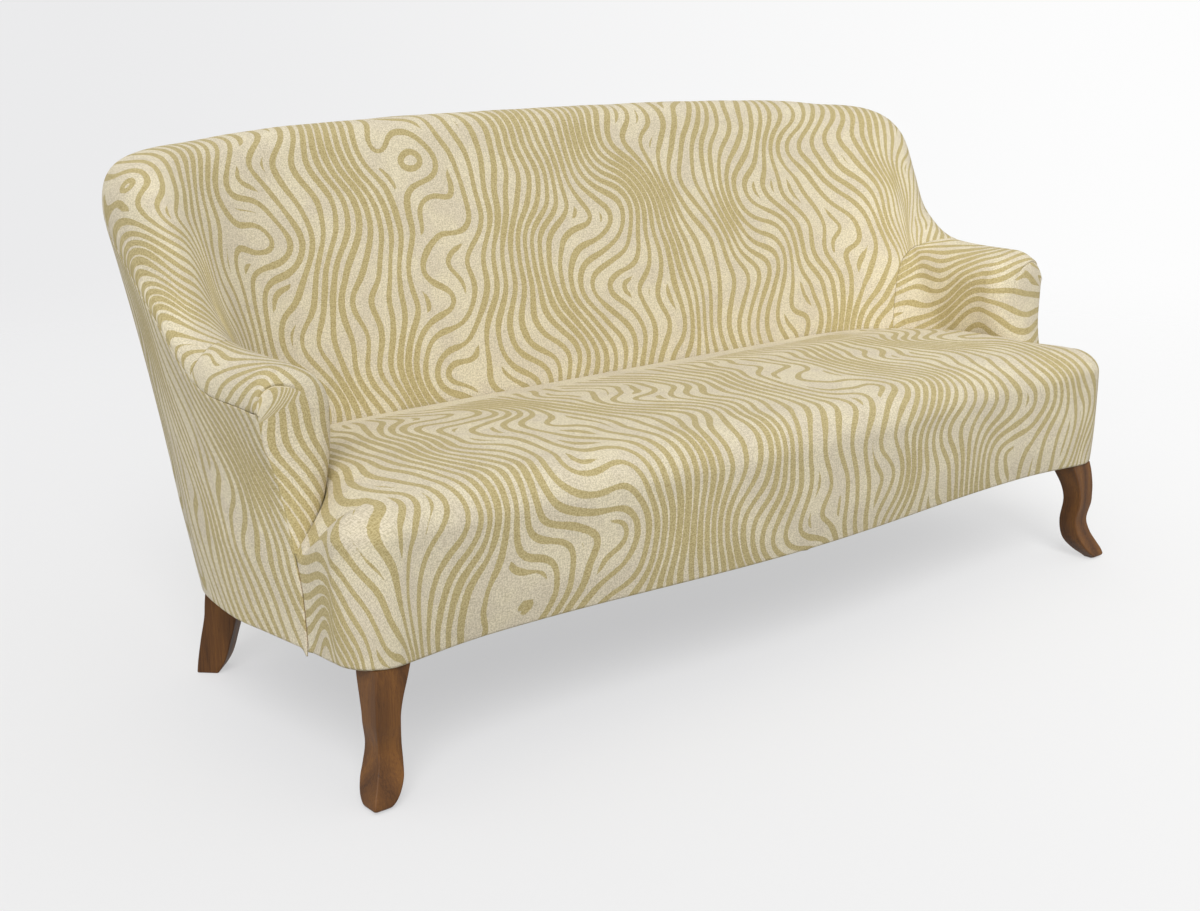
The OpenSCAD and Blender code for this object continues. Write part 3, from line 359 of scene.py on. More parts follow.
# By row: how far the foam's inner side has turned from the back frame to the arm panel, its
# thickness, the width of the top rail and how far the foam lies past it
BEND = [(3, 0), (4.5, 1)]
DEEP = [(3, BACK_FOAM), (5, ARM_FOAM)]
RAIL_WIDE = [(4, .028), (9, .042)]
PAST_RAIL = [(2.8, .0024), (3.1, .0076)]
OVER_RAIL, TO_SEAM, SEAM_SHARE = .341, .659, .12


def bend(s):
    return table(np.abs(s), BEND)[..., None]


def core(s, f):
    """Face of what the foam rests on: s along the rows, f up from the seat."""
    p = mix(wall_foot(s), follow(FACE, s), f[..., None])
    w = wall_in(s)
    n = level(w)
    deep = table(np.abs(s), DEEP)[..., None] + FOAM_GAP
    c = p - n * deep / (w * n).sum(axis=-1, keepdims=True)
    plane = PLANE_Y - (CREST_ROLL_H - p[..., 2]) * math.tan(RAKE)
    return np.stack([c[..., 0], mix(plane, c[..., 1], bend(s)[..., 0]), p[..., 2]], -1)


def foam_back(s, v):
    """Inner side of the foam: up the frame, then over its top rail to the outside seam."""
    s, v = as_grids(s, v)
    a = core(s, np.ones_like(s))
    b = a + unit(mix(PLANE_UP, wall_up(s), bend(s))) * (RAIL_RISE + RAIL_GAP)
    wide = (table(np.abs(s), RAIL_WIDE) + table(np.abs(s), PAST_RAIL))[..., None]
    c = b - level(mix(PLANE_IN, wall_in(s), bend(s))) * wide
    e = mix(follow(SEAM, s), follow(FACE, s), SEAM_SHARE)
    f = np.clip((v - FACE_END) / (1 - FACE_END), 0, 1)[..., None]
    over = np.where(f < OVER_RAIL, mix(a, b, f / OVER_RAIL),
                    np.where(f < TO_SEAM, mix(b, c, (f - OVER_RAIL) / (TO_SEAM - OVER_RAIL)),
                             mix(c, e, (f - TO_SEAM) / (1 - TO_SEAM))))
    return np.where(v[..., None] <= FACE_END, core(s, np.minimum(v / FACE_END, 1)), over)


# Under the seat foam: its gap to the wall, and how far its edge stands in, by place up the section
UNDER_WALL, UNDER_CROWN, UNDER_SEAM = .002, .36, .92
UNDER_EDGE = [(1, 0), (1.34, .207), (1.67, .448), (2, .759)]


def platform_edge(s):
    """Where the seat foam rests against the wall, at the height of the platform."""
    q = np.minimum(s, LAST)
    a, u = follow(FOOT, q), wall_up(q)
    at_wall = a - u * (a[..., 2:] - PLATFORM_H) / u[..., 2:]
    return at_wall + wall_in(q) * (UNDER_WALL + WALL_CROWN * UNDER_CROWN)


def seat_under(c, t):
    """Inner side of the seat foam, by the same places as seat_section."""
    d = c * OUTLINE_END
    p, out, s = outline(d), outline_out(d), np.minimum(table(c, SEAT_RUNS, 1), LAST)
    low = p - out * FOAM_GAP
    inset = SEAT_EDGE_R * table(t, UNDER_EDGE) * mix(1, .5, step_up(c, UNDER_SEAM))
    lift = UP * (PLATFORM_H - BASE_H)
    edge = low - out * inset[..., None] + lift
    rear = platform_edge(s) * [1, 1, 0] + UP * PLATFORM_H
    f = np.clip(t - 2, 0, 1)[..., None]
    return np.where(t[..., None] <= 1, low + lift * t[..., None], mix(edge, rear, f))


def spread(parts):
    """Steps along a side of a cloth: each part is (from, to, how many)."""
    return np.unique(np.concatenate([np.linspace(a, b, n) for a, b, n in parts]).round(6))


def both_halves(half, flip=(-1, 1, 1)):
    """A right half joined to its mirror image."""
    return np.concatenate([half[:0:-1] * flip, half])


def run_along(points, axis):
    """Distance along each line of the grid, from its start."""
    step = np.linalg.norm(np.diff(points, axis=axis), axis=-1)
    start = np.zeros_like(np.take(step, [0], axis=axis))
    return np.concatenate([start, np.cumsum(step, axis=axis)], axis=axis)


def edge_distance(points, axis, end):
    run = run_along(points, axis)
    return np.take(run, [-1], axis=axis) - run if end else run


def flat_size(points):
    """Length and width of the cut that the cloth is made from."""
    return tuple(float(run_along(points, axis).take(-1, axis=axis).max()) for axis in (0, 1))


def across_faces(points):
    """Outward direction of each face of a grid, twice its area long."""
    return np.cross(points[1:, 1:] - points[:-1, :-1], points[:-1, 1:] - points[1:, :-1])


def grid_area(points):
    return float(np.linalg.norm(across_faces(points), axis=-1).sum() / 2)


def grid_normals(points):
    """Outward direction at each point, gathered from the faces round it."""
    n, m = points.shape[:2]
    face = across_faces(points)
    normals = np.zeros_like(points)
    for i in (0, 1):
        for j in (0, 1):
            normals[i:n - 1 + i, j:m - 1 + j] += face
    for again in range(3):
        wide = np.pad(normals, ((1, 1), (1, 1), (0, 0)), mode="edge")
        normals = sum(wide[i:n + i, j:m + j] for i in range(3) for j in range(3))
    return unit(normals)


STITCH_PITCH, PUCKER_REACH, SEAM_FADE, CALM_BAND = .0093, .008, .012, .06
SWELL, SLIGHT_SWELL = .0011, .0009


def stitch(points, seams):
    """Draws the cloth in along its seams. Each seam is (axis, end, reach, sink, pucker)."""
    drop = np.zeros(points.shape[:2])
    for axis, end, reach, sink, pucker in seams:
        away = edge_distance(points, axis, end)
        t = np.clip(1 - away / reach, 0, 1)
        drawn = sink * (1 - np.sqrt(np.clip(1 - t ** 2, 0, 1)))
        run, rest = (edge_distance(points, 1 - axis, k) for k in (0, 1))
        wave = np.sin(math.tau * run / STITCH_PITCH + 1.7 * np.sin(run * 41))
        wave = wave * (.65 + .35 * np.sin(run * 67 + 1))
        drawn = drawn + pucker * (.5 + .5 * wave) * np.exp(-away / PUCKER_REACH)
        drop = np.maximum(drop, drawn * ease(np.minimum(run, rest) / SEAM_FADE))
    return points - grid_normals(points) * drop[..., None]


def swell(points, seams, height=SWELL, seed=0.0):
    """Slow unevenness of stuffed cloth, dying out towards the seams."""
    calm = np.ones(points.shape[:2])
    for axis, end in seams:
        calm = calm * ease(edge_distance(points, axis, end) / CALM_BAND)
    x, y, z = points[..., 0], points[..., 1], points[..., 2]
    wave = (np.sin(x * 23 + z * 9 + seed) * np.sin(z * 27 + y * 17 + seed * 2)
            + .6 * np.sin(x * 47 - y * 39 + seed) * np.sin(z * 41 + x * 13))
    return points + grid_normals(points) * (wave * calm * height / 1.6)[..., None]


def laid_flat(points, shift=(0, 0), turn=0.0, middle=None):
    """Pattern places: true lengths along and up the cloth, then moved and turned."""
    u, v = run_along(points, 0), run_along(points, 1)
    if middle is not None:
        u = u - u[middle]
    ct, st = math.cos(math.radians(turn)), math.sin(math.radians(turn))
    return np.stack([u * ct - v * st + shift[0], u * st + v * ct + shift[1]], -1)


def new_grid(n, m, size=1):
    bm = bmesh.new()
    bmesh.ops.create_grid(bm, x_segments=n - 1, y_segments=m - 1, size=size)
    return bm


def grid_spot(vert, n, m):
    """Row and column of a vertex of a new grid."""
    return round((vert.co.x + 1) / 2 * (n - 1)), round((vert.co.y + 1) / 2 * (m - 1))


def only(parts, kind):
    return [g for g in parts if isinstance(g, kind)]


def cloth_piece(name, points, uv, side=1, bare=None, parted=None):
    """A grid of cloth put in place point by point. bare marks where the pattern stops, and
    parted is the column of a fold and the shift of the pattern past it."""
    n, m = points.shape[:2]
    bm = new_grid(n, m)
    layer = bm.loops.layers.uv.new("cloth")
    plain = bm.verts.layers.float.new("plain")
    rows = (points * [side, 1, 1]).tolist()
    flat = uv.tolist()
    past = (uv + parted[1]).tolist() if parted else flat
    spot = []
    for vert in bm.verts:
        i, j = grid_spot(vert, n, m)
        vert.co = rows[i][j]
        if bare is not None:
            vert[plain] = float(bare[i, j])
        spot.append((i, j))
    for face in bm.faces:
        spots = [spot[loop.vert.index] for loop in face.loops]
        beyond = parted and min(i for i, j in spots) >= parted[0]
        for loop, (i, j) in zip(face.loops, spots):
            loop[layer].uv = (past if beyond else flat)[i][j]
    if side < 0:
        bmesh.ops.reverse_faces(bm, faces=bm.faces)
    return finished(name, bm)


def finished(name, bm):
    """The piece made from a mesh, smoothly shaded."""
    for face in bm.faces:
        face.smooth = True
    mesh = bpy.data.meshes.new(name)
    bm.to_mesh(mesh)
    bm.free()
    piece = bpy.data.objects.new(name, mesh)
    bpy.context.scene.collection.objects.link(piece)
    return piece


def pad_piece(name, outer, inner, side=1):
    """A closed pad between its outer and inner grid."""
    n, m = outer.shape[:2]
    bm = new_grid(n, m)
    made = bmesh.ops.extrude_face_region(bm, geom=bm.faces[:], use_keep_orig=True)
    bmesh.ops.translate(bm, verts=only(made["geom"], bmesh.types.BMVert), vec=(0, 0, 1))
    layers = (inner * [side, 1, 1]).tolist(), (outer * [side, 1, 1]).tolist()
    for vert in bm.verts:
        i, j = grid_spot(vert, n, m)
        vert.co = layers[round(vert.co.z)][i][j]
    bmesh.ops.recalc_face_normals(bm, faces=bm.faces)
    return finished(name, bm)


def add_thickness(piece, thick, offset=-1):
    shell = piece.modifiers.new("thickness", "SOLIDIFY")
    shell.thickness = thick
    shell.offset = offset
    shell.use_even_offset = False
    return piece


class Value:
    """A number on a node's output, with shader maths written as Python expressions."""

    def __init__(self, maker, socket):
        self.maker, self.socket = maker, socket

    def math(self, operation, *others):
        return self.maker.maths(operation, self, *others)

    def __add__(self, o):
        return self.math("ADD", o)

    def __sub__(self, o):
        return self.math("SUBTRACT", o)

    def __mul__(self, o):
        return self.math("MULTIPLY", o)

    def __truediv__(self, o):
        return self.math("DIVIDE", o)

    def __rsub__(self, o):
        return self.maker.maths("SUBTRACT", o, self)

    def __rtruediv__(self, o):
        return self.maker.maths("DIVIDE", o, self)

    __radd__ = __add__
    __rmul__ = __mul__


class Nodes:
    """A tree of nodes being built."""

    def __init__(self, tree):
        self.tree = tree

    def node(self, kind, settings=(), inputs=()):
        """A node of that kind, as the list of its outputs."""
        made = self.tree.nodes.new(kind)
        for key, value in dict(settings).items():
            setattr(made, key, value)
        for key, value in inputs.items() if isinstance(inputs, dict) else enumerate(inputs):
            if isinstance(value, Value):
                self.tree.links.new(value.socket, made.inputs[key])
            else:
                made.inputs[key].default_value = value
        return [Value(self, s) for s in made.outputs if s.enabled]

    def maths(self, operation, *values):
        return self.node("ShaderNodeMath", {"operation": operation}, values)[0]

    def place(self):
        return self.node("ShaderNodeTexCoord")[3]

    def cloth_place(self):
        return self.node("ShaderNodeTexCoord")[2]

    def split(self, vector):
        return self.node("ShaderNodeSeparateXYZ", inputs=[vector])

    def join(self, x, y, z=0.0):
        return self.node("ShaderNodeCombineXYZ", inputs=[x, y, z])[0]

    def made(self, name):
        """The first output of a node that the tree starts with."""
        return Value(self, self.tree.nodes[name].outputs[0])

    def show(self, name, value):
        self.tree.links.new(value.socket, self.tree.nodes[name].inputs[0])

    def noise(self, vector, scale, detail=2.0, rough=.5, dims="3D"):
        return self.node("ShaderNodeTexNoise", {"noise_dimensions": dims},
                         {"Vector": vector, "Scale": scale, "Detail": detail, "Roughness": rough})[0]

    def ease(self, value, low, high, start=0.0, end=1.0):
        return self.node("ShaderNodeMapRange", {"interpolation_type": "SMOOTHSTEP"},
                         [value, low, high, start, end])[0]

    def flat_noise(self, x, y, detail=2.0, rough=.5):
        return self.noise(self.join(x, y), 1.0, detail, rough, "2D")

    def mixed(self, factor, a, b, blend="MIX"):
        return self.node("ShaderNodeMix", {"data_type": "RGBA", "blend_type": blend},
                         {0: factor, 6: a, 7: b})[0]

    def layered(self, factor, a, b):
        """Two shaders mixed."""
        return self.node("ShaderNodeMixShader", inputs=[factor, a, b])[0]


class Finish(Nodes):
    """A material being built from nodes."""

    def __init__(self, name, **constants):
        self.material = bpy.data.materials.new(name)
        self.material.use_nodes = True
        super().__init__(self.material.node_tree)
        self.shader = self.tree.nodes["Principled BSDF"]
        for key, value in constants.items():
            self.shader.inputs[key.replace("_", " ")].default_value = value

    def feed(self, key, value):
        self.tree.links.new(value.socket, self.shader.inputs[key])

    def bump(self, height, distance, strength=1.0):
        inputs = {"Height": height, "Distance": distance, "Strength": strength}
        self.feed("Normal", self.node("ShaderNodeBump", inputs=inputs)[0])


def colour(code):
    """Linear colour from a screen code such as d8cdb0."""
    parts = [int(code[i:i + 2], 16) / 255 for i in (0, 2, 4)]
    return tuple(p / 12.92 if p < .04045 else ((p + .055) / 1.055) ** 2.4 for p in parts) + (1.0,)


# Print: pitch and width of its lines, how far they are bent, their edge, and where extra ones taper out
LINE_PITCH, LINE_WIDTH, LINE_SWELL = .0265, .0104, .005
SLOW_BEND, QUICK_BEND = .27, .06
EDGE_IN, EDGE_OUT, RAGGED = -.0005, .0006, .0016
SPARSE, DENSE = 18.0, 29.0
FIELD_STEP = .0009
WARP, WEFT = .0017, .0015


def line_field(make, x, y):
    """Height whose whole numbers are the drawn lines: stripes bent by slow and quick noise."""
    slow = make.flat_noise(x * 3.4, y * 3.6, 1.0, .36)
    quick = make.flat_noise(x * 8.0 + 5.2, y * 9.0 + 1.7, 0.0, .5)
    return (x + slow * SLOW_BEND + quick * QUICK_BEND) / LINE_PITCH


def line_cloth(name, ground, ink):
    """Slubbed linen-like cloth printed with flowing grain lines."""
    make = Finish(name, Roughness=.93, Specular_IOR_Level=.2, Sheen_Weight=.08, Sheen_Roughness=.6)
    x, y, _ = make.split(make.cloth_place())
    here = line_field(make, x, y)
    dx = (line_field(make, x + FIELD_STEP, y) - here) / FIELD_STEP
    dy = (line_field(make, x, y + FIELD_STEP) - here) / FIELD_STEP
    slope = (dx * dx + dy * dy).math("SQRT") + 1e-4
    swelling = make.flat_noise(x * 17.0, y * 9.0, 1.0)
    half = (swelling * LINE_SWELL + (LINE_WIDTH - LINE_SWELL) / 2).math("MINIMUM", .43 / slope)
    rough = (make.flat_noise(x * 330.0, y * 330.0, 1.0) - .5) * RAGGED
    # Lines at the whole numbers, and tapering ones halfway between them where they lie far apart
    on_line = ((here + .5).math("FRACT") - .5).math("ABSOLUTE") / slope
    between = (here.math("FRACT") - .5).math("ABSOLUTE") / slope
    taper = make.ease(slope, SPARSE, DENSE, 1.0, -.25)
    drawn = 1.0 - make.ease(on_line - half + rough, EDGE_IN, EDGE_OUT)
    drawn = drawn.math("MAXIMUM", 1.0 - make.ease(between - half * taper + rough, EDGE_IN, EDGE_OUT))
    bare = make.node("ShaderNodeAttribute", {"attribute_type": "GEOMETRY", "attribute_name": "plain"})[2]
    drawn = drawn * (1.0 - bare)
    slub_x = make.flat_noise(x * 75.0, y * 900.0, 2.0, .6)
    slub_y = make.flat_noise(x * 900.0, y * 75.0 + 3.0, 2.0, .6)
    fleck = make.flat_noise(x * 400.0, y * 400.0, 2.0, .7)
    weave = slub_x * .8 + slub_y * .8 + fleck * 1.7
    light = make.ease(weave, 1.3, 1.98)
    clouds = make.ease(make.flat_noise(x * 15.0, y * 15.0), .34, .66)
    pale = make.mixed(light, colour(ground[0]), colour(ground[1]))
    pale = make.mixed(clouds * .5, pale, colour("eeecf4"), "MULTIPLY")
    gold = make.mixed(light, colour(ink[0]), colour(ink[1]))
    make.feed("Base Color", make.mixed(drawn, pale, gold))
    threads = (x * (math.tau / WARP)).math("SINE") * (y * (math.tau / WEFT)).math("SINE")
    make.bump(threads * .12 + weave * .5 - drawn * .04, .0006, .45)
    return make.material


def plain_cloth(name, dark, pale, thread=.0016, rough=.95):
    """Plain woven cloth."""
    make = Finish(name, Roughness=rough, Specular_IOR_Level=.2)
    x, y, z = make.split(make.place())
    warp = ((x + z * .31) * (math.tau / thread)).math("SINE")
    weft = ((y + z * .95) * (math.tau / thread)).math("SINE")
    fleck = make.noise(make.place(), 500.0, 2.0, .6)
    light = make.ease(fleck + warp * weft * .08, .3, .75)
    make.feed("Base Color", make.mixed(light, colour(dark), colour(pale)))
    make.bump(warp * weft * .5 + fleck, .0005, .6)
    return make.material


def wood(name, dark, middle, pale, along="z", rough=.42, coat=.12, scale=1.0, shine=.5):
    """Straight-grained wood with rays, pores and a satin finish."""
    make = Finish(name, Coat_Weight=coat, Coat_Roughness=.35, Specular_IOR_Level=shine)
    x, y, z = make.split(make.place())
    a, b, c = {"z": (x, y, z), "x": (y, z, x), "y": (x, z, y)}[along]
    run = c * scale
    wander = make.noise(make.join(a * 9.0, b * 9.0, run * 2.2), 1.0, 2.0)
    rings = ((a * 170.0 + b * 95.0 + wander * 16.0) * scale).math("SINE")
    streak = make.noise(make.join(a * 420.0 * scale, b * 420.0 * scale, run * 16.0), 1.0, 3.0, .65)
    pores = make.noise(make.join(a * 1500.0, b * 1500.0, run * 60.0), 1.0, 1.0)
    broad = make.noise(make.join(a * 14.0, b * 14.0, run * 5.0), 1.0, 2.0)
    grain = rings * .16 + streak * .75 + broad * .45
    tone = make.mixed(make.ease(grain, .25, .62), colour(dark), colour(middle))
    tone = make.mixed(make.ease(grain, .58, .95), tone, colour(pale))
    pit = make.ease(pores, .62, .72)
    make.feed("Base Color", make.mixed(pit * .45, tone, colour(dark)))
    make.feed("Roughness", streak * .16 + (rough - .08) + pit * .12)
    make.bump(streak * .5 - pit * .6 + rings * .08, .0004, .5)
    return make.material


def foam(name):
    make = Finish(name, Roughness=.95, Specular_IOR_Level=.1)
    cell = make.noise(make.place(), 900.0, 2.0, .7)
    broad = make.noise(make.place(), 12.0, 2.0)
    light = make.ease(cell * .7 + broad * .4, .35, .8)
    make.feed("Base Color", make.mixed(light, colour("d9cda6"), colour("efe6c8")))
    make.bump(cell, .0008, .6)
    return make.material


def steel(name):
    make = Finish(name, Metallic=.95)
    scratch = make.noise(make.place(), 260.0, 3.0, .6)
    stain = make.noise(make.place(), 22.0, 2.0)
    make.feed("Base Color", make.mixed(make.ease(stain, .35, .7), colour("6d7074"), colour("9a9ca0")))
    make.feed("Roughness", scratch * .25 + .28)
    make.bump(scratch, .0002, .3)
    return make.material


CLOTH = line_cloth("grain_line_cloth", ("c3b89b", "e6dcc1"), ("a39362", "c4b587"))
DUST = plain_cloth("black_dust_cloth", "191919", "3a3a3a", .0012)
HESSIAN = plain_cloth("hessian", "8a7048", "b99f70", .0024)
WEB = plain_cloth("jute_webbing", "9a7f52", "c7ae7e", .003)
OAK = wood("stained_oak", "432a16", "613f20", "7b5228", rough=.55, coat=.03, shine=.25)
BEECH_X, BEECH_Y, BEECH_Z = (wood(f"beech_{run}", "b08a5c", "c8a678", "d8ba8e", axis, .6, 0.0, .6)
                             for axis, run in (("x", "across"), ("y", "deep"), ("z", "upright")))
PLY = wood("bent_plywood", "8f6a3c", "b9935f", "cda873", "y", .6, 0.0, .7)
FOAM = foam("seat_foam_rubber")
STEEL = steel("spring_steel")


def dress(node, material):
    mesh = nodes[node].data
    if not mesh.materials:
        mesh.materials.append(material)
    for i in range(len(mesh.materials)):
        mesh.materials[i] = material


for node in ("front_seat_rail", "back_seat_rail", "back_top_rail", "back_lower_rail"):
    dress(node, BEECH_X)
for side in ("left", "right"):
    for node in ("seat_cross_rail", "side_seat_rail", "arm_top_rail", "arm_lower_rail"):
        dress(f"{node}_{side}", BEECH_Y)
    for node in ("front_corner_block", "rear_corner_block", "back_post", "back_upright", "arm_post"):
        dress(f"{node}_{side}", BEECH_Z)
    dress(f"arm_panel_{side}", PLY)
for node in ("seat_springs", "spring_clips", "leg_bolts"):
    dress(node, STEEL)


def place_piece(piece, material, slot, *replaced):
    piece.data.materials.append(material)
    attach(piece, "root")
    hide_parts(*replaced)
    return piece


CLOTHS = {}
FRONT_LEG_AT, REAR_LEG_AT = (.755, -.3113), (.711, .1936)


def cover(name, points, uv, node, rests_on, **more):
    piece = add_thickness(cloth_piece(name, points, uv, **more), CLOTH_T)
    place_piece(piece, CLOTH, "cover_cloth", node)
    CLOTHS[name] = (piece, flat_size(points), grid_area(points), rests_on)


# Seams: how far from its edge a cloth is drawn in, how deep, and the height of its puckers
ROLL_SEAM = .007, .0009, .0008
JOIN_SEAM = .005, .0008, .0003
ARM_FRONT_SEAM = .006, .0008, .0004
SEAT_SEAM = .006, .001, .0004
PANEL_TOP_SEAM = .006, .0006, .0005
BACK_CORNER_SEAM = .006, .0012, .0004
ARM_CORNER_SEAM = .006, .0009, .0004
HEM_TURN = .004, .003, 0
PAD_TOP = .009, .0035, 0
PAD_END = .008, .0025, 0
PAD_REAR = .012, .009, 0

# Where on the print each cover is cut, and how far it is turned there
BACK_PRINT, SEAT_PRINT, REAR_PRINT = (.31, 0), (21.3, 3.4), (11.4, 0)
ARM_PRINT = {"right": ((2.9, .1), 66), "left": ((5.2, .6), 12)}
OUTSIDE_PRINT = {"right": ((14.2, .1), 0), "left": ((16.3, .7), 8)}
FOLD_SHIFT = np.array([.055, .02])

# Back: from join to join, over the crest
v = spread([(0, .5, 40), (.5, .96, 52), (.96, 1, 10)])
across = spread([(-1, -.99, 6), (-.99, -.88, 34), (-.88, .88, 270), (.88, .99, 34), (.99, 1, 6)])
f, w = grid(across, v)
back = wall(LAST * cover_join(w) * f, w)
BACK_SEAMS = [(1, 1), (0, 0), (0, 1)]
back = swell(back, BACK_SEAMS)
back = stitch(back, [(1, 1, *ROLL_SEAM), (0, 0, *JOIN_SEAM), (0, 1, *JOIN_SEAM)])
cover("back_cloth", back, laid_flat(back, BACK_PRINT, 0, len(f) // 2), "inside_back_cover", ["back_pad"])

# Arms: from the join forward, round the front to its seam, with a fold over the arm front
FOLD_TURN, FOLD_LOW, FOLD_FADE, FOLD_TOP = 48, .66, .12, .03
FOLD_LIP, LIP_WIDE, FOLD_SLOT, SLOT_WIDE = .003, .007, .0035, .0019
CREASE, CREASE_WIDE, CREASE_LOW, CREASE_FULL = .0009, .003, .3, .5
JOIN_GAP = .0004
v = spread([(-.07, .5, 40), (.5, .96, 60), (.96, 1, 12)])
f, w = grid(spread([(0, .03, 6), (.03, 1, 96)]), v)
along = wall(LAST * mix(cover_join(w) + JOIN_GAP, 1, f), w)
turns = spread([(2, 43, 16), (43, 53, 15), (53, 84, 16), (84, 90, 6)])
a, w = grid(turns, v)
arm = np.concatenate([along, nose(a, w)])
rise = np.broadcast_to(v, arm.shape[:2])
arm = swell(arm, BACK_SEAMS, SLIGHT_SWELL, 2.0)
fold_at = len(along) + int(np.argmin(np.abs(turns - FOLD_TURN)))
off_fold = run_along(arm, 0) - run_along(arm, 0)[fold_at]
fold = ease((rise - FOLD_LOW) / FOLD_FADE) * ease((1 - rise) / FOLD_TOP)
lip = np.where(off_fold < 0, FOLD_LIP * np.exp(off_fold / LIP_WIDE), 0)
slot = FOLD_SLOT * np.exp(-(off_fold / SLOT_WIDE) ** 2)
crease = CREASE * np.exp(-(off_fold / CREASE_WIDE) ** 2) * step_up(rise, CREASE_LOW, CREASE_FULL)
arm = arm + grid_normals(arm) * ((lip - slot) * fold - crease * (1 - fold))[..., None]
arm = stitch(arm, [(1, 1, *ROLL_SEAM), (0, 0, *JOIN_SEAM), (0, 1, *ARM_FRONT_SEAM)])
for side, sign in (("right", 1), ("left", -1)):
    cover(f"arm_cloth_{side}", arm, laid_flat(arm, *ARM_PRINT[side], -1), f"inside_arm_cover_{side}",
          [f"arm_pad_{side}"], side=sign, parted=(fold_at, fold[..., None] * FOLD_SHIFT))

# Seat: up from the hem, over the front edge and back to the wall and the arm fronts
ups = spread([(0, .05, 5), (.05, 1, 28), (1, 2, 22), (2, 2.93, 50), (2.93, 3, 12)])
c, t = grid(spread([(0, .76, 112), (.76, .96, 64), (.96, 1, 16)]), ups)
seat = seat_surface(c, t)
crest_at = int(np.argmin(np.abs(ups - 2)))
near = np.linspace(-.06, .06, 11)
out = unit(np.mean([outline_out(np.clip(c + k, 0, 1) * OUTLINE_END) for k in near], axis=0))
run = run_along(seat, 1)
down = np.maximum(run[:, crest_at:crest_at + 1] - run, 0)[..., None]
seat_uv = np.where(t[..., None] < 2, seat[:, crest_at:crest_at + 1, :2] + out[..., :2] * down, seat[..., :2])
TUCK_DEEP, TUCK_SLIGHT, TUCK_FROM, TUCK_TO, TUCK_REACH = .006, .0004, .68, .78, .010
BARE_STRIP, BARE_END, BARE_FADE = .06, 4.3, .004
tuck_in = mix(TUCK_DEEP, TUCK_SLIGHT, step_up(c[:, :1], TUCK_FROM, TUCK_TO))
seat = stitch(seat, [(1, 1, TUCK_REACH, tuck_in, 0), (0, 1, *SEAT_SEAM), (1, 0, *HEM_TURN)])
rear_gap = edge_distance(seat, 1, True)
tuck = BARE_STRIP * np.clip(1 - (table(c, SEAT_RUNS) / BARE_END) ** 2, 0, 1)
bare = (1 - ease((rear_gap - tuck) / BARE_FADE)) * ease(tuck / (2 * BARE_FADE))
seat, seat_uv, bare = both_halves(seat), both_halves(seat_uv, (-1, 1)) + SEAT_PRINT, both_halves(bare, 1)
seat = swell(seat, [(1, 1), (1, 0), (0, 0), (0, 1)], SLIGHT_SWELL, 4.0)
cover("seat_cloth", seat, seat_uv, "seat_cover", ["seat_pad"], bare=bare)

# Outside back and outside arms, pulled down over the frame to the hem
down = spread([(0, .04, 14), (.04, .97, 60), (.97, 1, 6)])
rows = np.linspace(-SPLIT_ROW, SPLIT_ROW, 220)
s, f = grid(rows, down)
outside_back = stitch(panel(s, f), [(1, 0, *PANEL_TOP_SEAM), (1, 1, *HEM_TURN),
                                    (0, 0, *BACK_CORNER_SEAM), (0, 1, *BACK_CORNER_SEAM)])
cover("outside_back_cloth", outside_back, laid_flat(outside_back, REAR_PRINT, 0, 110), "outside_back_cover",
      ["back_top_rail", "back_seat_rail"])
SPLIT_GAP, EDGE_DROP, EDGE_BACK = .003, .0015, .0023
s, f = grid(np.linspace(SPLIT_ROW + SPLIT_GAP, LAST, 190), down)
side_panel = panel(s, f)
front_edge = front_seam(mix(ARM_SEAM_H - EDGE_DROP, BASE_H, down)) + np.array([0, EDGE_BACK, 0])
closing = [mix(side_panel[-1], front_edge, k) for k in np.linspace(0, 1, 31)[1:]]
side_panel = np.concatenate([side_panel, np.array(closing)])
side_panel = stitch(side_panel, [(1, 0, *PANEL_TOP_SEAM), (1, 1, *HEM_TURN),
                                 (0, 0, *ARM_CORNER_SEAM), (0, 1, *ARM_FRONT_SEAM)])
from_corner = np.hypot(edge_distance(side_panel, 0, True), edge_distance(side_panel, 1, True))
PLEAT_REACH, PLEAT_OPEN = .009, np.array([.0015, -.001, -.0065])
side_panel = side_panel + PLEAT_OPEN * np.exp(-(from_corner / PLEAT_REACH) ** 2)[..., None]
for side, sign in (("right", 1), ("left", -1)):
    cover(f"outside_arm_cloth_{side}", side_panel, laid_flat(side_panel, *OUTSIDE_PRINT[side]),
          f"outside_arm_cover_{side}", [f"arm_top_rail_{side}", f"side_seat_rail_{side}"], side=sign)

# Foam under the covers
PAD_FILL, FOAM_FROM, FOAM_PART = .85, .13, .008


def pad(name, outer, inner, node, side=1):
    place_piece(pad_piece(name, outer, inner, side), FOAM, "foam", node)


v = spread([(0, .56, 20), (.56, .96, 26), (.96, 1, 8)])
f, w = grid(spread([(-1, -.985, 6), (-.985, .985, 130), (.985, 1, 6)]), v)
s = LAST * table(w, FOAM_JOIN) * f
outer = swell(wall_deep(s, w, FOAM_GAP), BACK_SEAMS)
pad("back_pad", stitch(outer, [(1, 1, *PAD_TOP)]), foam_back(s, w), "back_foam")
f, w = grid(np.linspace(FOAM_FROM, 1, 44), v)
s = LAST * mix(table(w, FOAM_JOIN) + FOAM_PART, 1, f)
a, q = grid(np.linspace(10, 90, 16), v)
rounded = roll_round(foam_back(np.full_like(q, LAST), q), nose_seam(q) + np.array([-FOAM_GAP, .015, 0]), a, 0)
outer = np.concatenate([wall_deep(s, w, FOAM_GAP), nose(a, q, FOAM_GAP)])
outer = swell(outer, BACK_SEAMS, SLIGHT_SWELL, 2.0)
outer = stitch(outer, [(1, 1, *PAD_TOP), (0, 1, *PAD_END)])
inner = np.concatenate([foam_back(s, w), rounded])
for side, sign in (("left", -1), ("right", 1)):
    pad(f"arm_pad_{side}", outer, inner, f"arm_foam_{side}", sign)
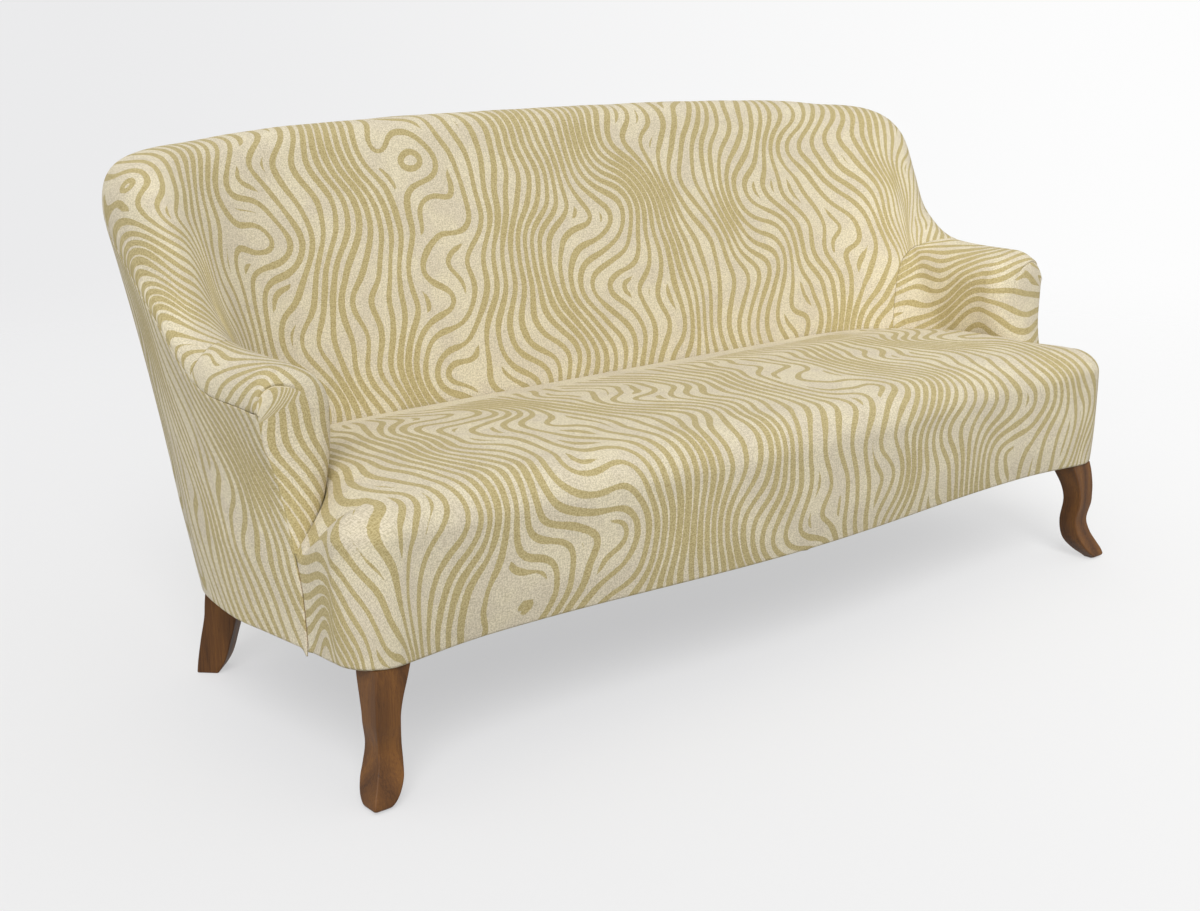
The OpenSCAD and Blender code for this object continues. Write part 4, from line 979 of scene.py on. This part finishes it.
along = np.concatenate([np.linspace(0, .78, 44), np.linspace(.8, .995, 26)])
c, t = grid(along, spread([(0, 1, 8), (1, 2, 12), (2, 2.985, 24)]))
outer = seat_surface(c, t)
outer = stitch(outer, [(1, 1, *PAD_REAR), (0, 1, *PAD_END)])
outer = outer - grid_normals(outer) * FOAM_GAP
inner = seat_under(c, t)
pad("seat_pad", both_halves(outer), both_halves(inner), "seat_foam")


SHEET_ROWS, SHEET_WAVE, CUT_ROUND = 44, .0003, .03


def level_sheet(name, front, rear, z, across, thick, material, slot, node, rests_on, holes=()):
    """A level cloth between a front and a rear path, each from the middle out, with holes for the legs."""
    front, rear = (np.stack([np.interp(np.linspace(0, 1, across), run_along(p, 0) / run_along(p, 0)[-1], q)
                             for q in p.T], -1) for p in (front, rear))
    bm = new_grid(2 * across - 1, SHEET_ROWS)
    for vert in bm.verts:
        k, f = round(abs(vert.co.x) * (across - 1)), (vert.co.y + 1) / 2
        x, y = mix(front[k], rear[k], f)
        calm = min(1, 8 * f * (1 - f)) * min(1, 6 * (1 - k / (across - 1)))
        wave = SHEET_WAVE * calm * math.sin(x * 19 + 1) * math.sin(f * 7)
        vert.co = (math.copysign(x, vert.co.x), y, z + wave)
    for px, py, hx, hy, turn in holes:
        ct, st = math.cos(math.radians(turn)), math.sin(math.radians(turn))
        for dx, dy, reach in ((ct, st, hx), (-ct, -st, hx), (-st, ct, hy), (st, -ct, hy)):
            near = [g for g in bm.faces
                    if (g.calc_center_median().xy - Vector((px, py))).length < hx + hy + CUT_ROUND]
            near += list({e for g in near for e in g.edges}) + list({e for g in near for e in g.verts})
            place = (px + dx * reach, py + dy * reach, z)
            bmesh.ops.bisect_plane(bm, geom=near, plane_co=place, plane_no=(dx, dy, 0))
        inside = [g for g in bm.faces for q in [g.calc_center_median().xy - Vector((px, py))]
                  if abs(q.x * ct + q.y * st) < hx and abs(-q.x * st + q.y * ct) < hy]
        bmesh.ops.delete(bm, geom=inside, context="FACES")
    area = sum(face.calc_area() for face in bm.faces)
    reach = [max(v.co[k] for v in bm.verts) - min(v.co[k] for v in bm.verts) for k in (0, 1)]
    piece = place_piece(add_thickness(finished(name, bm), thick), material, slot, node)
    CLOTHS[name] = (piece, reach, area, rests_on)


def front_path(inset, end=OUTLINE_END):
    d = np.linspace(0, end, 120)
    return (outline(d) - outline_out(d) * inset)[:, :2]


def hem_path(inset, s):
    t = heading(HEM, s)
    return (follow(HEM, s) + np.stack([t[:, 1], -t[:, 0], np.zeros(len(s))], -1) * inset)[:, :2]


HESSIAN_H, HESSIAN_INSET, HESSIAN_SHARE, HESSIAN_T = .3074, .0084, .811, .0014
edge = platform_edge(np.linspace(2, LAST, 60))[:, :2] - [UNDER_WALL, 0]
half = HALF_W * HESSIAN_SHARE
side_y = np.interp(half, edge[:, 0], edge[:, 1])
rear = np.concatenate([[[0, edge[0, 1]]], edge[edge[:, 0] < half], [[half, side_y]]])
level_sheet("platform_hessian", front_path(HESSIAN_INSET, half), rear, HESSIAN_H, 60, HESSIAN_T, HESSIAN,
            "hessian", "seat_platform", ["seat_springs"])
DUST_INSET, DUST_H, DUST_T = .014, BASE_H - .0001, .0007
FRONT_HOLE, REAR_HOLE = (.0276, .0276), (.043, .0231)
holes = [(sign * FRONT_LEG_AT[0], FRONT_LEG_AT[1], *FRONT_HOLE, 0) for sign in (-1, 1)]
holes += [(sign * REAR_LEG_AT[0], REAR_LEG_AT[1], *REAR_HOLE, sign * 45) for sign in (-1, 1)]
front = np.concatenate([front_path(DUST_INSET), hem_path(DUST_INSET, np.linspace(LAST, 8.2, 12))])
level_sheet("dust_cloth", front, hem_path(DUST_INSET, np.linspace(0, 8, 90)), DUST_H, 70, DUST_T, DUST,
            "dust_cloth", "dust_cover", ["front_seat_rail", "back_seat_rail"], holes)

# Webbing of the back
WEB_BANDS, WEB_PITCH, WEB_WIDE, WEB_LENGTH, WEB_T, WEB_GAP = 8, .13995, .05, .425, .0013, .0004
web_at = np.array([0, PLANE_Y, CREST_ROLL_H]) - PLANE_IN * WEB_GAP
web_low = web_at + PLANE_UP * ((FOOT_H - web_at[2]) / math.cos(RAKE))
for k in range(WEB_BANDS):
    f, w = grid(np.linspace(-WEB_WIDE / 2, WEB_WIDE / 2, 6), np.linspace(0, WEB_LENGTH, 48))
    x = f + (k - (WEB_BANDS - 1) / 2) * WEB_PITCH
    band = web_low + PLANE_UP * w[..., None] + np.array([1, 0, 0]) * x[..., None]
    piece = add_thickness(cloth_piece(f"web_band_{k + 1}", band, laid_flat(band)), WEB_T)
    place_piece(piece, WEB, "hessian", "back_webbing")
    CLOTHS[piece.name] = (piece, (WEB_WIDE, WEB_LENGTH), None, ["back_top_rail", "back_lower_rail"])


# Legs, sawn to a double curve in front and to a sabre curve behind
FRONT_LEG = [(1, 0, 0), (.9, .13, .34), (.77, .23, .76), (.66, .25, .97), (.57, .23, 1), (.41, .06, .87),
             (.28, .27, .95), (.18, .6, 1.2), (.09, .92, 1.75), (.03, 1, 2.3), (0, .62, 2.55)]
REAR_LEG = [(1, 0, 0), (.65, .3, .7), (.5, .4, .72), (.3, .68, 1.08), (.12, .9, 1.46), (0, 1, 1.93)]
LEG_TOP, TOE_OUT, SHANK_IN, REAR_LEG_TOP, REAR_LEG_T, REAR_KICK = .054, .026, .022, .06, .045, .028
LEG_X, LEG_Y = .782, .022


def leg_curve(rows, t):
    """Height and both cuts of a leg, t from its top (0) to its foot (1)."""
    rows = np.array([rows[0]] + rows + [rows[-1]])
    return through(rows, t * (len(rows) - 3))


BOLT_HOLE, BOLT_DEEP = .0043, .0403


def leg(name, side, corners, rows, bolt, arris=.0026, cuts=63):
    """A leg from a cube cut across and moved to its curves. corners gives the place of each upright edge."""
    bm = bmesh.new()
    bmesh.ops.create_cube(bm, size=2)
    upright = [e for e in bm.edges if abs(e.verts[0].co.z - e.verts[1].co.z) > 1]
    bmesh.ops.subdivide_edges(bm, edges=upright, cuts=cuts)
    shape = leg_curve(rows, np.concatenate([[1], np.linspace(.93, 0, cuts + 1)]))
    for vert in bm.verts:
        height, *share = shape[round((vert.co.z + 1) / 2 * (cuts + 1))]
        x, y = corners(vert.co.x > 0, vert.co.y > 0, *share)
        vert.co = (x * side, y, BASE_H * height)
    foot = min(v.co.z for v in bm.verts)
    sharp = [e for e in bm.edges if len({round(v.co.z, 6) for v in e.verts}) == 2
             or all(abs(v.co.z - foot) < 1e-5 for v in e.verts)]
    bmesh.ops.recalc_face_normals(bm, faces=bm.faces)
    bmesh.ops.bevel(bm, geom=sharp, offset=arris, offset_type="OFFSET", segments=3, profile=.5,
                    affect="EDGES", material=-1)
    rim = {e for e in bm.edges if all(v.co.z > BASE_H - 1e-5 for v in e.verts)}
    lid = [f for f in bm.faces if all(v.co.z > BASE_H - 1e-5 for v in f.verts)]
    bmesh.ops.delete(bm, geom=lid, context="FACES_ONLY")
    rim = [e for e in rim if e.is_boundary]
    turn = Matrix.Translation((bolt[0] * side, bolt[1], BASE_H))
    hole = bmesh.ops.create_circle(bm, segments=32, radius=BOLT_HOLE, matrix=turn)["verts"]
    circle = list({e for v in hole for e in v.link_edges})
    made = bmesh.ops.extrude_edge_only(bm, edges=circle)["geom"]
    floor = only(made, bmesh.types.BMVert)
    bmesh.ops.translate(bm, verts=floor, vec=(0, 0, -BOLT_DEEP))
    low = [e for e in only(made, bmesh.types.BMEdge) if all(v in floor for v in e.verts)]
    bmesh.ops.edgeloop_fill(bm, edges=low)
    bmesh.ops.bridge_loops(bm, edges=rim + circle)
    bmesh.ops.recalc_face_normals(bm, faces=bm.faces)
    piece = finished(name, bm)
    piece.modifiers.new("even shading", "WEIGHTED_NORMAL")
    return place_piece(piece, OAK, "oak", name)


def front_leg_at(right, rear, toe, shank):
    low, high = SHANK_IN * shank - LEG_TOP, TOE_OUT * toe
    return LEG_X + (high if right else low), LEG_Y - REACH - (low if rear else high)


def rear_leg_at(outer, rear, toe, shank):
    along = REAR_LEG_TOP / 2 + REAR_KICK * toe if outer else REAR_KICK * shank - REAR_LEG_TOP / 2
    across = REAR_LEG_T / 2 if rear else -REAR_LEG_T / 2
    x, y = ((along - across) * math.sqrt(.5), (along + across) * math.sqrt(.5))
    return REAR_LEG_AT[0] + x, REAR_LEG_AT[1] + y


for side, sign in (("left", -1), ("right", 1)):
    leg(f"front_leg_{side}", sign, front_leg_at, FRONT_LEG, FRONT_LEG_AT)
    leg(f"rear_leg_{side}", sign, rear_leg_at, REAR_LEG, REAR_LEG_AT)


# Stage: pale floor that fades into the backdrop, soft studio light
ACROSS = (.769, -.639, 0.0)
PALE, PALEST = colour("ebebec"), colour("fdfdfd")
PAPER, SEEN_GLOW, BOUNCE_CUT, FADE_FROM, FADE_TO = .87, .6, .5, 1.9, 4.2
FLOOR_REACH, ROOM_LIGHT = 14, .59
KEY_FROM, KEY_POWER, KEY_SOFT = (-.47, -.57, .68), 2.1, 34
FILL_FROM, FILL_AT, FILL_POWER, FILL_CONE, FILL_SIZE = (-.75, -.75, 1.15), (.78, -.02, .47), 16, 34, .25
CAMERA_AT, CAMERA_DOWN, CAMERA_TURN = (-1.8344, -2.0560, 1.0316), 15.558, 39.718


def backdrop_shade(make, place, low, high):
    """Pale on the left of the picture, almost white on the right."""
    x, y, _ = make.split(place)
    return make.mixed(make.ease(x * ACROSS[0] + y * ACROSS[1], low, high), PALE, PALEST)


def seen_directly(make):
    """1 for rays from the camera and from mirrors."""
    path = make.node("ShaderNodeLightPath")
    return path[0].math("MAXIMUM", path[3])


def stage_floor():
    floor = finished("floor", new_grid(2, 2, FLOOR_REACH))
    make = Finish("floor_paper", Roughness=.9, Specular_IOR_Level=.1, Base_Color=(PAPER, PAPER, PAPER, 1))
    x, y, _ = make.split(make.place())
    seen = seen_directly(make)
    glow = make.node("ShaderNodeEmission", inputs=[backdrop_shade(make, make.place(), -.6, 1.6), 1.0])[0]
    dark = make.node("ShaderNodeBsdfDiffuse", inputs=[(.0, .0, .0, 1)])[0]
    clear = make.node("ShaderNodeBsdfTransparent")[0]
    part = make.layered(seen * SEEN_GLOW, make.made("Principled BSDF"), glow)
    part = make.layered((1.0 - seen) * BOUNCE_CUT, part, dark)
    far = make.ease((x * x + y * y).math("SQRT"), FADE_FROM, FADE_TO) * seen
    make.show("Material Output", make.layered(far, part, clear))
    floor.data.materials.append(make.material)


def lamp(name, kind, strength, place, target, **settings):
    light = bpy.data.lights.new(name, kind)
    light.energy = strength
    for key, value in settings.items():
        setattr(light, key, value)
    made = bpy.data.objects.new(name, light)
    bpy.context.scene.collection.objects.link(made)
    made.location = place
    made.rotation_euler = (Vector(place) - Vector(target)).to_track_quat("Z", "Y").to_euler()


def stage_world():
    world = bpy.data.worlds.new("studio")
    bpy.context.scene.world = world
    world.use_nodes = True
    make = Nodes(world.node_tree)
    room = make.tree.nodes["Background"].inputs
    room[0].default_value, room[1].default_value = (1, 1, 1, 1), ROOM_LIGHT
    shade = backdrop_shade(make, make.node("ShaderNodeTexCoord")[0], -.34, .34)
    shown = make.node("ShaderNodeBackground", inputs=[shade, 1.0])[0]
    make.show("World Output", make.layered(seen_directly(make), make.made("Background"), shown))


def camera():
    lens = bpy.data.cameras.new("camera")
    lens.lens, lens.sensor_width, lens.sensor_fit = 50, 36, "HORIZONTAL"
    view = bpy.data.objects.new("camera", lens)
    bpy.context.scene.collection.objects.link(view)
    view.location = CAMERA_AT
    view.rotation_euler = (math.radians(90 - CAMERA_DOWN), 0, math.radians(-CAMERA_TURN))
    bpy.context.scene.camera = view


stage_floor()
stage_world()
lamp("key", "SUN", KEY_POWER, KEY_FROM, (0, 0, 0), angle=math.radians(KEY_SOFT))
lamp("arm_fill", "SPOT", FILL_POWER, FILL_FROM, FILL_AT, spot_size=math.radians(FILL_CONE), spot_blend=1,
     shadow_soft_size=FILL_SIZE)
camera()
bpy.context.scene.view_settings.view_transform = "Standard"

for name, (piece, flat, area, rests_on) in CLOTHS.items():
    print(name, "flat", [round(x, 3) for x in flat], "area", area)
